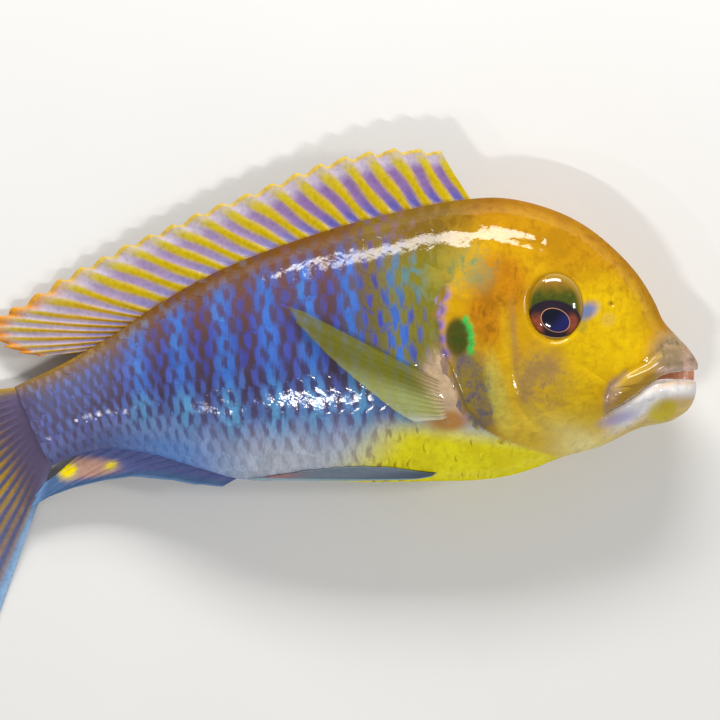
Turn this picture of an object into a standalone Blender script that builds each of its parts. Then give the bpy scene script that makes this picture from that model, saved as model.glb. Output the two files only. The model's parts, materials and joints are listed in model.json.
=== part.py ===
"""A male mbuna cichlid at life size, lying on its left side as it lies in an open hand.

+X runs towards the snout, +Y towards the back fin, and +Z up through the right flank.
The floor that the fish lies on is z = 0. Lengths below are in millimetres, and MM
turns them into metres where a mesh is made.
"""

import math

import bmesh
import bpy
import numpy as np
from mathutils import Vector
from mathutils.bvhtree import BVHTree

MM = 0.001
GAP = 0.3  # left between neighbouring nodes
MEMBRANE = 0.5  # thickness of a fin between its rays
FLOOR = 0.0

# The outline in the plane of symmetry, from the tail's root to the snout.
BACK = [
    (-36.6, -0.1), (-30.1, 3.0), (-23.1, 7.0), (-16.1, 11.7), (-7.6, 16.3), (3.7, 20.7),
    (14.9, 23.9), (26.2, 26.2), (31.8, 26.5), (37.5, 25.4), (43.1, 23.0), (48.0, 19.2),
    (51.5, 15.3), (53.6, 11.8), (54.8, 9.2), (56.8, 6.9), (58.7, 4.8), (59.7, 2.8), (59.3, 1.5),
]
BELLY = [
    (-32.0, -11.5), (-28.0, -9.9), (-23.1, -9.0), (-17.5, -9.6), (-11.1, -11.4), (-4.8, -13.1),
    (3.7, -13.4), (22.0, -13.4), (29.0, -13.2), (33.2, -12.6), (36.8, -11.5), (40.3, -10.1),
    (45.9, -8.5), (51.5, -5.9), (56.5, -4.6), (58.5, -3.1), (59.4, -1.0), (59.3, 1.5),
]
# The line of greatest width, from the tail's root to the corner of the mouth.
MIDLINE = [
    (-34.2, -5.8), (-27.3, -2.5), (-18.9, 0.4), (-10.4, 2.4), (-0.6, 4.3), (10.7, 6.1),
    (22.0, 7.4), (31.8, 7.2), (40.3, 4.6), (47.6, -0.3),
]
# Half the width of the body, by x.
HALF_WIDTH = [
    (-34.2, 2.3), (-27.0, 3.5), (-19.0, 5.0), (-10.0, 6.6), (0.0, 7.9), (11.0, 8.6),
    (22.0, 8.85), (30.0, 8.8), (36.0, 8.4), (41.0, 7.7), (47.6, 6.6), (60.0, 6.0),
]
# Height of the plane of symmetry over the floor, by x: the tail sags on to the floor.
AXIS_HEIGHT = [
    (-62.0, 0.6), (-50.0, 1.0), (-42.0, 2.0), (-34.2, 3.3), (-27.0, 4.1), (-19.0, 5.4),
    (-10.0, 6.9), (0.0, 8.0), (11.0, 8.6), (22.0, 8.9), (32.0, 9.2), (60.0, 9.3),
]

# Seams of the head, in the plane of symmetry.
GILL_EDGE = [
    (29.3, 30.0), (28.7, 26.5), (28.2, 22.0), (27.3, 18.0), (25.6, 14.9), (24.4, 12.1),
    (23.9, 9.0), (24.2, 5.8), (25.1, 2.8), (25.8, -0.3), (26.9, -3.4), (29.2, -5.9),
    (32.3, -7.6), (36.1, -8.9), (39.7, -9.9), (42.0, -15.0),
]
CHEEK_EDGE = [
    (31.4, 17.0), (32.2, 13.5), (32.5, 7.9), (33.0, 2.3), (34.1, -2.3), (36.0, -5.2), (38.2, -7.4),
]
GAPE = [
    (46.4, -3.6), (47.6, -3.2), (49.4, -2.2), (51.5, -0.8), (53.0, 0.0), (54.4, 0.6),
    (57.2, 1.3), (60.0, 1.6),
]
GAPE_OPENS_AT = 54.0  # the lips part in front of this x
GAPE_OPENING = 1.3  # between the lips at the snout
JAW_REAR = [(46.4, -3.6), (45.8, -5.4), (46.6, -12.0)]
GILL_COVER_INNER = 4.6  # its inner face, out from the plane of symmetry
GILL_COVER_RELIEF = 0.45

EYE_CENTRE = (39.6, 11.1)
EYE_RADII = (3.7, 4.5, 2.9)
EYE_STANDS_OUT = 0.9
NOSTRIL = (47.5, 11.4)
NOSTRIL_RADIUS = 0.55

TAIL_SEAM = (-17.5, 24.0)  # x of the cut at the midline, and its slant in degrees
CUT_REACH = 60.0  # how far a cutter runs past the body

STATIONS_TRUNK = 22
STATIONS_HEAD = 18
STATIONS_FACE = 22
HEAD_FROM = 22.0
FACE_FROM = 40.3
RINGS = 12


def smooth_curve(points, count):
    """Evenly spaced points of a smooth curve through the given ones."""
    given = np.array(points, float)
    steps = np.linalg.norm(np.diff(given, axis=0), axis=1)
    along = np.concatenate([[0.0], np.cumsum(steps)])
    slopes = np.gradient(given, along, axis=0)
    at = np.linspace(0.0, along[-1], count)
    k = np.clip(np.searchsorted(along, at, side="right") - 1, 0, len(along) - 2)
    span = (along[k + 1] - along[k])[:, None]
    s = (at - along[k])[:, None] / span
    return (
        (2 * s**3 - 3 * s**2 + 1) * given[k]
        + (s**3 - 2 * s**2 + s) * span * slopes[k]
        + (3 * s**2 - 2 * s**3) * given[k + 1]
        + (s**3 - s**2) * span * slopes[k + 1]
    )


def value_at(curve, x):
    """The value that a smooth curve of (x, value) has at x."""
    return np.interp(x, curve[:, 0], curve[:, 1])


BACK_LINE = smooth_curve(BACK, 500)
BELLY_LINE = smooth_curve(BELLY, 500)
MID = smooth_curve(MIDLINE, 400)
WIDTHS = smooth_curve(HALF_WIDTH, 240)
HEIGHTS = smooth_curve(AXIS_HEIGHT, 240)
SNOUT = np.array(BACK[-1])


def axis_height(x):
    return value_at(HEIGHTS, x)


def ray_to(outline, start, direction):
    """Where the ray from start meets the outline, or the outline's first point if it misses."""
    a, b = outline[:-1] - start, outline[1:] - start
    cross_a = a[:, 0] * direction[1] - a[:, 1] * direction[0]
    cross_b = b[:, 0] * direction[1] - b[:, 1] * direction[0]
    best = None
    for k in np.nonzero(cross_a * cross_b <= 0)[0]:
        share = cross_a[k] / (cross_a[k] - cross_b[k] + 1e-15)
        hit = a[k] + share * (b[k] - a[k])
        reach = float(hit @ direction)
        if reach > 0 and (best is None or reach < best[0]):
            best = (reach, start + hit)
    return best[1] if best else outline[0]


def stations():
    """(centre, top outline point, bottom outline point) from the tail's root to the snout."""
    xs = np.concatenate([
        np.linspace(MID[0, 0], HEAD_FROM, STATIONS_TRUNK, endpoint=False),
        np.linspace(HEAD_FROM, FACE_FROM, STATIONS_HEAD, endpoint=False),
        np.linspace(FACE_FROM, MID[-1, 0], STATIONS_FACE),
    ])
    tangent = np.gradient(MID, axis=0)
    rows = []
    for x in xs:
        centre = np.array([x, np.interp(x, MID[:, 0], MID[:, 1])])
        slope = np.interp(min(x, FACE_FROM), MID[:, 0], np.arctan2(tangent[:, 1], tangent[:, 0]))
        turned = np.clip((x - FACE_FROM) / (MID[-1, 0] - FACE_FROM), 0, 1)
        ahead = math.atan2(*(SNOUT - centre)[::-1])
        up = slope + math.pi / 2
        down = slope - math.pi / 2
        up += (ahead - up) * turned
        down += (ahead - down) * turned
        if turned > 0.999:
            rows.append((centre, SNOUT, SNOUT))
            continue
        top = ray_to(BACK_LINE, centre, np.array([math.cos(up), math.sin(up)]))
        bottom = ray_to(BELLY_LINE, centre, np.array([math.cos(down), math.sin(down)]))
        rows.append((centre, top, bottom))
    return rows


def distance_to(points, x, y):
    """Distance from (x, y) to a line through points."""
    line = np.array(points, float)
    a, d = line[:-1], np.diff(line, axis=0)
    p = np.array([x, y])
    s = np.clip(((p - a) * d).sum(1) / (d * d).sum(1), 0, 1)
    off = p - (a + s[:, None] * d)
    return float(np.sqrt((off**2).sum(1)).min())


def bump(distance, width):
    return math.exp(-((distance / width) ** 2))


UPPER_LIP = [(59.6, 3.0), (57.0, 3.0), (54.4, 2.2), (51.6, 1.0), (49.2, -0.6), (47.6, -2.4)]
LIP_GROOVE = [(55.6, 7.4), (53.8, 4.8), (51.4, 3.0), (48.6, 1.2), (46.7, -1.2), (46.2, -3.6)]
LOWER_LIP = [(59.2, -0.9), (57.0, -0.7), (54.4, -0.9), (51.8, -2.0), (49.4, -3.4), (47.6, -4.4)]


def relief(x, y):
    """How far the head's surface stands out from its plain form at (x, y)."""
    total = 0.55 * bump(distance_to(UPPER_LIP, x, y), 1.1)
    total += 0.5 * bump(distance_to(LOWER_LIP, x, y), 1.1)
    total -= 0.35 * bump(distance_to(LIP_GROOVE, x, y), 0.8)
    total -= 0.3 * bump(distance_to(GAPE, x, y), 0.6)
    total -= 0.25 * bump(distance_to(CHEEK_EDGE, x, y), 0.9)
    orbit = math.hypot((x - EYE_CENTRE[0]) / EYE_RADII[0], (y - EYE_CENTRE[1]) / EYE_RADII[1])
    total += 0.3 * bump(orbit - 1.25, 0.3)
    return total


def profile(r, top):
    """Half width at share r of the way out to the outline, as a share of the greatest."""
    power, root = (2.3, 1.8) if top else (1.75, 1.7)
    return (1 - r**power) ** (1 / root)


def body_form(gill_covers):
    """The whole body as one closed mesh. With gill_covers its skin stands out by their thickness."""
    rows = stations()
    rings = [1 - (1 - j / RINGS) ** 1.5 for j in range(RINGS + 1)]
    mesh = bmesh.new()
    made = {}

    def vertex(k, top, j, side):
        if j == RINGS:
            key = ("rim", k, top if k < len(rows) - 1 else True)
        elif j == 0 or k == len(rows) - 1:
            key = ("mid", k, j, side)
        else:
            key = (k, top, j, side)
        if key not in made:
            centre, above, below = rows[k]
            outer = above if top else below
            r = rings[j]
            x, y = centre + r * (outer - centre)
            z = axis_height(x)
            if j < RINGS:
                half = value_at(WIDTHS, centre[0]) * profile(r, top)
                if x > HEAD_FROM:
                    raised = relief(x, y) + GILL_COVER_RELIEF * gill_covers
                    half += raised * (1 - r**8)
                z += side * half
            made[key] = mesh.verts.new(Vector((x, y, max(z, FLOOR))) * MM)
        return made[key]

    for side in (1, -1):
        for top in (True, False):
            for k in range(len(rows) - 1):
                for j in range(RINGS):
                    corners = [
                        vertex(k, top, j, side), vertex(k + 1, top, j, side),
                        vertex(k + 1, top, j + 1, side), vertex(k, top, j + 1, side),
                    ]
                    mesh.faces.new(dict.fromkeys(corners))
    root = [vertex(0, True, j, 1) for j in range(RINGS, -1, -1)]
    root += [vertex(0, False, j, 1) for j in range(1, RINGS + 1)]
    root += [vertex(0, False, j, -1) for j in range(RINGS - 1, -1, -1)]
    root += [vertex(0, True, j, -1) for j in range(1, RINGS)]
    mesh.faces.new(root)
    bmesh.ops.recalc_face_normals(mesh, faces=mesh.faces)
    bmesh.ops.triangulate(mesh, faces=mesh.faces)
    return mesh


def new_object(name, mesh, material=None):
    data = bpy.data.meshes.new(name)
    mesh.to_mesh(data)
    obj = bpy.data.objects.new(name, data)
    bpy.context.scene.collection.objects.link(obj)
    if material:
        data.materials.append(material)
    return obj


def cutter(name, outline, low, high):
    """A prism over the outline, from z low to high, which the build leaves out."""
    mesh = bmesh.new()
    base = [mesh.verts.new(Vector((x, y, low)) * MM) for x, y in outline]
    face = mesh.faces.new(base)
    top = bmesh.ops.extrude_face_region(mesh, geom=[face])["geom"]
    lift = [v for v in top if isinstance(v, bmesh.types.BMVert)]
    bmesh.ops.translate(mesh, verts=lift, vec=Vector((0, 0, high - low)) * MM)
    bmesh.ops.recalc_face_normals(mesh, faces=mesh.faces)
    return as_cutter(new_object(name, mesh))


def as_cutter(obj):
    obj.hide_render = True
    obj.display_type = "WIRE"
    return obj


def ellipsoid(name, centre, radii, segments, rings, material=None):
    mesh = bmesh.new()
    bmesh.ops.create_uvsphere(mesh, u_segments=segments, v_segments=rings, radius=1.0)
    bmesh.ops.scale(mesh, vec=Vector(radii) * MM, verts=mesh.verts)
    bmesh.ops.translate(mesh, vec=Vector(centre) * MM, verts=mesh.verts)
    bmesh.ops.triangulate(mesh, faces=mesh.faces)
    return new_object(name, mesh, material)


def boolean(obj, operation, other):
    modifier = obj.modifiers.new(other.name, "BOOLEAN")
    modifier.operation = operation
    modifier.solver = "EXACT"
    modifier.object = other


def settle(obj):
    """Applies the object's modifiers and keeps its largest closed surface."""
    bpy.context.view_layer.update()
    evaluated = obj.evaluated_get(bpy.context.evaluated_depsgraph_get())
    mesh = bmesh.new()
    mesh.from_mesh(evaluated.to_mesh())
    evaluated.to_mesh_clear()
    obj.modifiers.clear()
    bmesh.ops.dissolve_degenerate(mesh, dist=0.002 * MM, edges=mesh.edges)
    left = set(mesh.verts)
    shells = []
    while left:
        shell, edge = set(), [left.pop()]
        while edge:
            vert = edge.pop()
            shell.add(vert)
            for other in (e.other_vert(vert) for e in vert.link_edges):
                if other in left:
                    left.discard(other)
                    edge.append(other)
        shells.append(shell)
    keep = max(shells, key=len)
    bmesh.ops.delete(mesh, geom=[v for v in mesh.verts if v not in keep], context="VERTS")
    bmesh.ops.triangulate(mesh, faces=mesh.faces)
    mesh.to_mesh(obj.data)
    return obj


def shifted(points, distance):
    """The line moved sideways, to its left by distance."""
    line = np.array(points, float)
    tangent = np.gradient(line, axis=0)
    tangent /= np.linalg.norm(tangent, axis=1)[:, None]
    return line + distance * np.stack([-tangent[:, 1], tangent[:, 0]], axis=1)


def tail_seam(offset):
    """The cut between trunk and tail stalk, from below to above."""
    x, slant = TAIL_SEAM
    lean = math.radians(slant)
    centre = np.array([x + offset, np.interp(x, MID[:, 0], MID[:, 1])])
    run = CUT_REACH * np.array([-math.sin(lean), math.cos(lean)])
    return [centre - run, centre + run]


def gape_line(upper):
    """One edge of the mouth's opening: the lips part towards the snout."""
    half = []
    for x, y in GAPE:
        opened = max(0.0, (x - GAPE_OPENS_AT) / (SNOUT[0] - GAPE_OPENS_AT))
        half.append((GAP + (GAPE_OPENING - GAP) * opened) / 2 * (1 if upper else -1))
    return np.array(GAPE) + np.array([[0.0, h] for h in half])


def flesh(materials):
    """Head, gill covers, jaw, trunk and tail stalk, each cut from the body's form."""
    head_form = body_form(gill_covers=True)
    trunk_form = body_form(gill_covers=False)
    seam = smooth_curve(GILL_EDGE, 26)
    high, low = 30.0, -8.0
    far = CUT_REACH + 20.0

    def node(name, form, outline, slot):
        obj = new_object(name, form, materials[slot])
        boolean(obj, "INTERSECT", cutter("cut_" + name, outline, low, high))
        return obj

    stalk = [*tail_seam(-GAP / 2), (-far, CUT_REACH), (-far, -CUT_REACH)]
    settle(node("tail_stalk", trunk_form, stalk, "flank"))

    behind = shifted(seam, -GAP / 2)
    trunk = [*tail_seam(GAP / 2)[::-1], *behind[::-1]]
    settle(node("trunk", trunk_form, trunk, "flank"))

    before = shifted(seam, GAP / 2)
    jaw_rear = np.array(JAW_REAR)
    mouth_roof, mouth_floor = gape_line(True), gape_line(False)
    head = [*before, *(jaw_rear[:0:-1] + (-GAP / 2, -CUT_REACH / 9)), jaw_rear[1] - (GAP / 2, 0)]
    head += [*(mouth_roof - (GAP / 2, 0)), (far, mouth_roof[-1][1]), (far, CUT_REACH)]
    jaw = [*(jaw_rear[:0:-1] + (GAP / 2, -CUT_REACH / 9)), jaw_rear[1] + (GAP / 2, 0)]
    jaw += [*(mouth_floor + (GAP / 2, 0)), (far, mouth_floor[-1][1]), (far, -CUT_REACH)]
    settle(node("lower_jaw", head_form, jaw, "jaw"))

    skull = node("head", head_form, head, "head")
    front = smooth_curve(CHEEK_EDGE, 14)
    rear = smooth_curve(GILL_EDGE[3:14], 16)
    for name, sign in (("gill_cover_right", 1), ("gill_cover_left", -1)):
        sunk = float(axis_height(30.0)) + sign * GILL_COVER_INNER
        past = sunk + sign * CUT_REACH
        plate = [*shifted(rear, GAP / 2), *shifted(front, -GAP / 2)[::-1]]
        room = [*shifted(rear, -2.0), *shifted(front, GAP / 2)[::-1]]
        boolean(skull, "DIFFERENCE",
                cutter("room_" + name, room, *sorted((sunk - sign * GAP, past))))
        cover = new_object(name, head_form, materials["head"])
        boolean(cover, "INTERSECT", cutter("cut_" + name, plate, *sorted((sunk, past))))
        settle(cover)
    return skull, head_form


def skin_height(tree, x, y, sign):
    """z of the body's skin over (x, y), on the right side for sign 1 and the left for -1."""
    start = Vector((x * MM, y * MM, sign * 0.1))
    return tree.ray_cast(start, Vector((0, 0, -sign)))[0].z / MM


def eyes_and_nostrils(skull, tree, materials):
    radii = np.array(EYE_RADII)
    for side, sign in (("right", 1), ("left", -1)):
        skin = skin_height(tree, *EYE_CENTRE, sign)
        centre = (*EYE_CENTRE, skin + sign * (EYE_STANDS_OUT - EYE_RADII[2]))
        ellipsoid("eye_" + side, centre, radii, 18, 10, materials["eye"])
        socket = as_cutter(ellipsoid("socket_" + side, centre, radii + GAP, 20, 12))
        boolean(skull, "DIFFERENCE", socket)
        pit = (*NOSTRIL, skin_height(tree, *NOSTRIL, sign) + sign * 0.1)
        size = (NOSTRIL_RADIUS,) * 3
        boolean(skull, "DIFFERENCE", as_cutter(ellipsoid("nostril_" + side, pit, size, 8, 6)))
    settle(skull)


def sheet(name, columns, thickness, material, lie=None):
    """A closed thin sheet. columns holds rows of mid-surface points, root first, and
    thickness the sheet's own there. lie(point, thickness, side) places each face's points,
    and without it they stand above and below the mid-surface."""
    mesh = bmesh.new()
    count, rows = len(columns), len(columns[0])
    faces = {}
    for side in (1, -1):
        for i in range(count):
            for j in range(rows):
                if lie:
                    point = lie(columns[i][j], thickness[i][j], side)
                else:
                    point = columns[i][j] + (0.0, 0.0, side * thickness[i][j] / 2)
                point[2] = max(point[2], FLOOR)
                faces[i, j, side] = mesh.verts.new(Vector(point) * MM)
    for i in range(count - 1):
        for j in range(rows - 1):
            for side in (1, -1):
                a, b = faces[i, j, side], faces[i + 1, j, side]
                c, d = faces[i + 1, j + 1, side], faces[i, j + 1, side]
                for corners in ((a, b, c), (a, c, d)):
                    mesh.faces.new(corners if side > 0 else corners[::-1])
    border = [(i, 0) for i in range(count)] + [(count - 1, j) for j in range(1, rows)]
    border += [(i, rows - 1) for i in range(count - 2, -1, -1)]
    border += [(0, j) for j in range(rows - 2, 0, -1)]
    for here, there in zip(border, border[1:] + border[:1]):
        a, b = faces[(*here, 1)], faces[(*there, 1)]
        c, d = faces[(*there, -1)], faces[(*here, -1)]
        mesh.faces.new((a, d, c))
        mesh.faces.new((a, c, b))
    bmesh.ops.recalc_face_normals(mesh, faces=mesh.faces)
    return new_object(name, mesh, material)


RIDGE_PLACES = (0.0, 0.28, 0.72)  # columns from one ray to the next
RIDGE_SHARES = (1.0, 0.0, 0.0)  # of the ray's own height at those columns


def fin_columns(roots, tips, rows, bow, notch):
    """Mid-surface points from roots to tips. bow curves each ray, and notch cuts the
    margin back in front of each ray, as a share of the ray's length."""
    columns, ridges = [], []
    for i in range(len(roots)):
        for place, ridge in zip(RIDGE_PLACES, RIDGE_SHARES):
            if i == len(roots) - 1 and place > 0:
                break
            other = min(i + 1, len(roots) - 1)
            root = roots[i] * (1 - place) + roots[other] * place
            tip = tips[i] * (1 - place) + tips[other] * place
            reach = 1 - notch * place**1.5
            lean = np.array([root[1] - tip[1], tip[0] - root[0], 0.0])
            column = []
            for j in range(rows):
                v = reach * j / (rows - 1)
                column.append(root + (tip - root) * v + bow * lean * v * (1 - v))
            columns.append(column)
            ridges.append(ridge)
    return np.array(columns), ridges


def ridged(ridges, rows, root_extra, ray_height):
    """Thickness of each column's points: the membrane, its ray, and a thicker root."""
    table = []
    for k, ridge in enumerate(ridges):
        row = []
        for j in range(rows):
            v = j / (rows - 1)
            extra = root_extra(k / (len(ridges) - 1)) * max(0.0, 1 - v / 0.18) ** 2
            row.append(MEMBRANE + ridge * ray_height * (1 - 0.7 * v) + extra)
        row[-1] = 0.32
        table.append(row)
    return table


DORSAL_SPINES = 17
DORSAL_ROOTS_X = (27.0, -17.3, -25.4)  # first spine, last spine, last soft ray
DORSAL_TIPS = [
    (23.5, 33.1), (20.6, 33.4), (17.0, 33.5), (13.5, 33.1), (10.0, 32.4), (6.5, 31.4),
    (3.2, 30.1), (-0.3, 28.6), (-3.8, 27.2), (-7.5, 25.8), (-11.0, 24.4), (-14.4, 22.8),
    (-17.6, 21.4), (-21.0, 20.0), (-24.2, 18.3), (-27.3, 16.8), (-30.4, 15.1), (-33.5, 13.1),
    (-36.9, 11.1), (-39.4, 9.9), (-41.1, 8.6), (-40.3, 7.0), (-38.3, 5.6), (-36.1, 4.7),
    (-33.6, 4.2), (-30.8, 4.6),
]
ANAL_ROOTS_X = (-4.1, -26.0)
ANAL_TIPS = [
    (-7.3, -14.2), (-11.1, -13.9), (-15.4, -13.2), (-20.3, -12.8), (-24.8, -13.5),
    (-29.0, -14.6), (-32.3, -15.9), (-34.4, -17.2), (-33.9, -15.7), (-32.7, -13.9),
    (-30.6, -12.4),
]


def off_outline(outline, x, distance):
    """The outline's point at x, moved out from the body."""
    order = np.argsort(outline[:, 0])
    y = np.interp(x, outline[order, 0], outline[order, 1])
    slope = (np.interp(x + 0.5, outline[order, 0], outline[order, 1])
             - np.interp(x - 0.5, outline[order, 0], outline[order, 1]))
    away = np.array([-slope, 1.0]) / math.hypot(slope, 1.0)
    if outline is BELLY_LINE:
        away = -away
    return np.array([x, y]) + distance * away


def in_axis_plane(point, droop=0.0):
    x, y = point
    return np.array([x, y, float(axis_height(x)) - droop])


def dorsal_fin(materials):
    first, last, end = DORSAL_ROOTS_X
    soft = len(DORSAL_TIPS) - DORSAL_SPINES
    xs = [*np.linspace(first, last, DORSAL_SPINES), *np.linspace(last, end, soft + 1)[1:]]
    roots = [in_axis_plane(off_outline(BACK_LINE, x, GAP)) for x in xs]
    tips = [in_axis_plane(p, 0.9) for p in DORSAL_TIPS]
    columns, ridges = fin_columns(roots, tips, 7, 0.06, 0.17)
    thickness = ridged(ridges, 7, lambda u: 0.7, 0.5)
    sheet("dorsal_fin", columns, thickness, materials["fin"])


def anal_fin(materials):
    xs = np.linspace(*ANAL_ROOTS_X, len(ANAL_TIPS))
    roots = [in_axis_plane(off_outline(BELLY_LINE, x, GAP)) for x in xs]
    tips = [in_axis_plane(p, 0.5) for p in ANAL_TIPS]
    columns, ridges = fin_columns(roots, tips, 5, -0.04, 0.05)
    thickness = ridged(ridges, 5, lambda u: 0.5, 0.4)
    sheet("anal_fin", columns, thickness, materials["fin"])


CAUDAL_RAYS = 15
CAUDAL_UPPER_TIP = (-59.7, -3.0)
CAUDAL_LOWER_TIP = (-39.4, -33.7)
CAUDAL_FORK = 2.2  # how far the middle rays fall short of the lobes


def caudal_fin(materials):
    tangent = MID[0] - MID[1]
    tangent /= np.linalg.norm(tangent)
    top, bottom = np.array(BACK[0]), np.array(BELLY[0])
    upper, lower = np.array(CAUDAL_UPPER_TIP), np.array(CAUDAL_LOWER_TIP)
    middle = (top + bottom) / 2
    roots, tips = [], []
    for i in range(CAUDAL_RAYS):
        u = i / (CAUDAL_RAYS - 1)
        root = top + (bottom - top) * (0.03 + 0.94 * u) + tangent * GAP
        chord = upper + (lower - upper) * u
        inward = (middle - chord) / np.linalg.norm(middle - chord)
        tip = chord - inward * (3.4 - CAUDAL_FORK) * math.sin(math.pi * u)
        roots.append(in_axis_plane(root))
        tips.append(np.array([*tip, 0.25]))
    columns, ridges = fin_columns(roots, tips, 8, 0.0, 0.02)
    for column in columns:
        for j, point in enumerate(column):
            v = j / (len(column) - 1)
            point[2] = 0.25 + (column[0][2] - 0.25) * max(0.0, 1 - v / 0.8) ** 1.6
    stalk = 2 * float(value_at(WIDTHS, MID[0, 0])) - 2 * MEMBRANE

    def root_extra(u):
        return stalk * max(0.0, 1 - abs(2 * u - 1) ** 2.2) ** 0.6

    thickness = ridged(ridges, 8, root_extra, 0.4)
    sheet("caudal_fin", columns, thickness, materials["fin"])


def hugging(tree, lift=None):
    """Places a folded fin's points just off the body's skin, lift(point) further out."""
    def lie(point, thick, side):
        found, normal, *_ = tree.find_nearest(Vector(point) * MM)
        height = GAP + (lift(point) if lift else 0.0) + (thick if side > 0 else 0.0)
        return np.array(found) / MM + np.array(normal) * height
    return lie


PECTORAL_LIFT = (0.7, 0.1)  # how far the right and the left fin's tips stand off the flank
PECTORAL_ROOT = [(22.8, 1.1), (22.8, -5.4)]
PECTORAL_TIPS = [
    (4.6, 10.2), (2.2, 11.0), (3.2, 8.9), (5.0, 7.0), (7.0, 5.0), (9.0, 3.2), (11.0, 1.5),
    (13.0, -0.1), (14.9, -1.6), (16.6, -2.9), (18.2, -3.9), (19.8, -4.7),
]
LEFT_PECTORAL_TURN = 42.0  # degrees: the floor presses this fin down along the belly


def pectoral_fin(name, tree, sign, turn, materials):
    pivot = np.array(PECTORAL_ROOT).mean(0)
    c, s = math.cos(math.radians(turn)), math.sin(math.radians(turn))
    spin = np.array([[c, -s], [s, c]])
    count = len(PECTORAL_TIPS)
    first, last = np.array(PECTORAL_ROOT)
    roots = [first + (last - first) * i / (count - 1) for i in range(count)]
    tips = [pivot + spin @ (np.array(p) - pivot) for p in PECTORAL_TIPS]

    def lie(p):
        return np.array([*p, skin_height(tree, *p, sign) + sign * 0.5])

    columns, ridges = fin_columns([lie(p) for p in roots], [lie(p) for p in tips], 6, 0.0, 0.03)
    for column in columns:
        for point in column:
            point[2] = skin_height(tree, point[0], point[1], sign) + sign * 0.5
    thickness = ridged(ridges, 6, lambda u: 0.0, 0.25)
    most = PECTORAL_LIFT[0 if sign > 0 else 1]

    def lift(point):
        return most * min(1.0, max(0.0, (PECTORAL_ROOT[0][0] - point[0]) / 20.0))

    sheet(name, columns, thickness, materials["clear_fin"], hugging(tree, lift))


PELVIC_ROOT = [(22.4, -11.9), (22.6, -13.1)]
PELVIC_TIPS = [(-3.8, -13.4), (-1.0, -13.0), (3.6, -12.2), (8.0, -11.7), (12.0, -11.5), (16.0, -11.6)]


def pelvic_fin(name, tree, sign, materials):
    count = len(PELVIC_TIPS)
    low, high = np.array(PELVIC_ROOT[1]), np.array(PELVIC_ROOT[0])
    roots = [low + (high - low) * i / (count - 1) for i in range(count)]

    def lie(p):
        z = float(axis_height(p[0])) + sign * (1.6 + 1.1 * (p[1] + 13.4))
        return np.array([*p, z])

    columns, ridges = fin_columns([lie(p) for p in roots], [lie(p) for p in PELVIC_TIPS],
                                  6, 0.0, 0.03)
    thickness = ridged(ridges, 6, lambda u: 0.2, 0.3)
    sheet(name, columns, thickness, materials["fin"], hugging(tree))


def make_materials():
    colours = {
        "head": (0.72, 0.50, 0.03), "flank": (0.12, 0.20, 0.55), "jaw": (0.60, 0.56, 0.50),
        "fin": (0.62, 0.52, 0.30), "clear_fin": (0.38, 0.40, 0.16), "eye": (0.02, 0.02, 0.08),
    }
    made = {}
    for slot, colour in colours.items():
        material = bpy.data.materials.new(slot)
        material.use_nodes = True
        shader = material.node_tree.nodes["Principled BSDF"]
        shader.inputs["Base Color"].default_value = (*colour, 1.0)
        shader.inputs["Roughness"].default_value = 0.25
        shader.inputs["Metallic"].default_value = 0.0
        made[slot] = material
    return made


def main():
    for obj in list(bpy.data.objects):
        bpy.data.objects.remove(obj)
    materials = make_materials()
    skull, form = flesh(materials)
    tree = BVHTree.FromBMesh(form)
    eyes_and_nostrils(skull, tree, materials)
    dorsal_fin(materials)
    anal_fin(materials)
    caudal_fin(materials)
    pectoral_fin("pectoral_fin_right", tree, 1, 0.0, materials)
    pectoral_fin("pectoral_fin_left", tree, -1, LEFT_PECTORAL_TURN, materials)
    pelvic_fin("pelvic_fin_right", tree, 1, materials)
    pelvic_fin("pelvic_fin_left", tree, -1, materials)


main()
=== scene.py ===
"""The looks of the cichlid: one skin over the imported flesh, its scales, eyes and fins.

Everything is in the row frame: +X to the snout, +Y to the back fin, +Z out of the right
flank, with the floor at z = 0. Lengths are in millimetres, and MM turns them into metres
where a mesh is made. On a flank, "along" runs from the tail's root to the snout, and
"across" runs over the skin from the line of greatest width towards the back. In a fin, a
place counts the rays, and v runs from 0 at the root to 1 at the edge. A colour is given by
its usual 0 to 255 values, which srgb makes linear.
"""

import json
import math

import bmesh
import bpy
import numpy as np
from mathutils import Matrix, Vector
from mathutils.bvhtree import BVHTree

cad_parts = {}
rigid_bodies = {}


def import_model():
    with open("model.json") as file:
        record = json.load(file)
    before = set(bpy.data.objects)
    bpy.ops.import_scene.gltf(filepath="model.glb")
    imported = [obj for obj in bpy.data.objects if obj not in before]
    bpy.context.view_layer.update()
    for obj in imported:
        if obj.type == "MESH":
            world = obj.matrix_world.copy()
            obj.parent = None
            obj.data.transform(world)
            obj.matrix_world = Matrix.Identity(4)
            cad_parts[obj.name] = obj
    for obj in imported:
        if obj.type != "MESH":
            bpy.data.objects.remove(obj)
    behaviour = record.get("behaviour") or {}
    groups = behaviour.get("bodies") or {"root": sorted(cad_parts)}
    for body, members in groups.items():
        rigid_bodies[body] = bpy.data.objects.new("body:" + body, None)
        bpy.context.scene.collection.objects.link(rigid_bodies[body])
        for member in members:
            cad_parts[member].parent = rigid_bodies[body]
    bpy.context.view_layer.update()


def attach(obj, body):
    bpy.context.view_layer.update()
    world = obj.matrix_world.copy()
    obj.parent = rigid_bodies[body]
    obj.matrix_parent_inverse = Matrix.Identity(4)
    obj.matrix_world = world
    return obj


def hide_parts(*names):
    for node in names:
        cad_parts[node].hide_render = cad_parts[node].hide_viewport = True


MM = 0.001
FLOOR = 0.0

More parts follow.
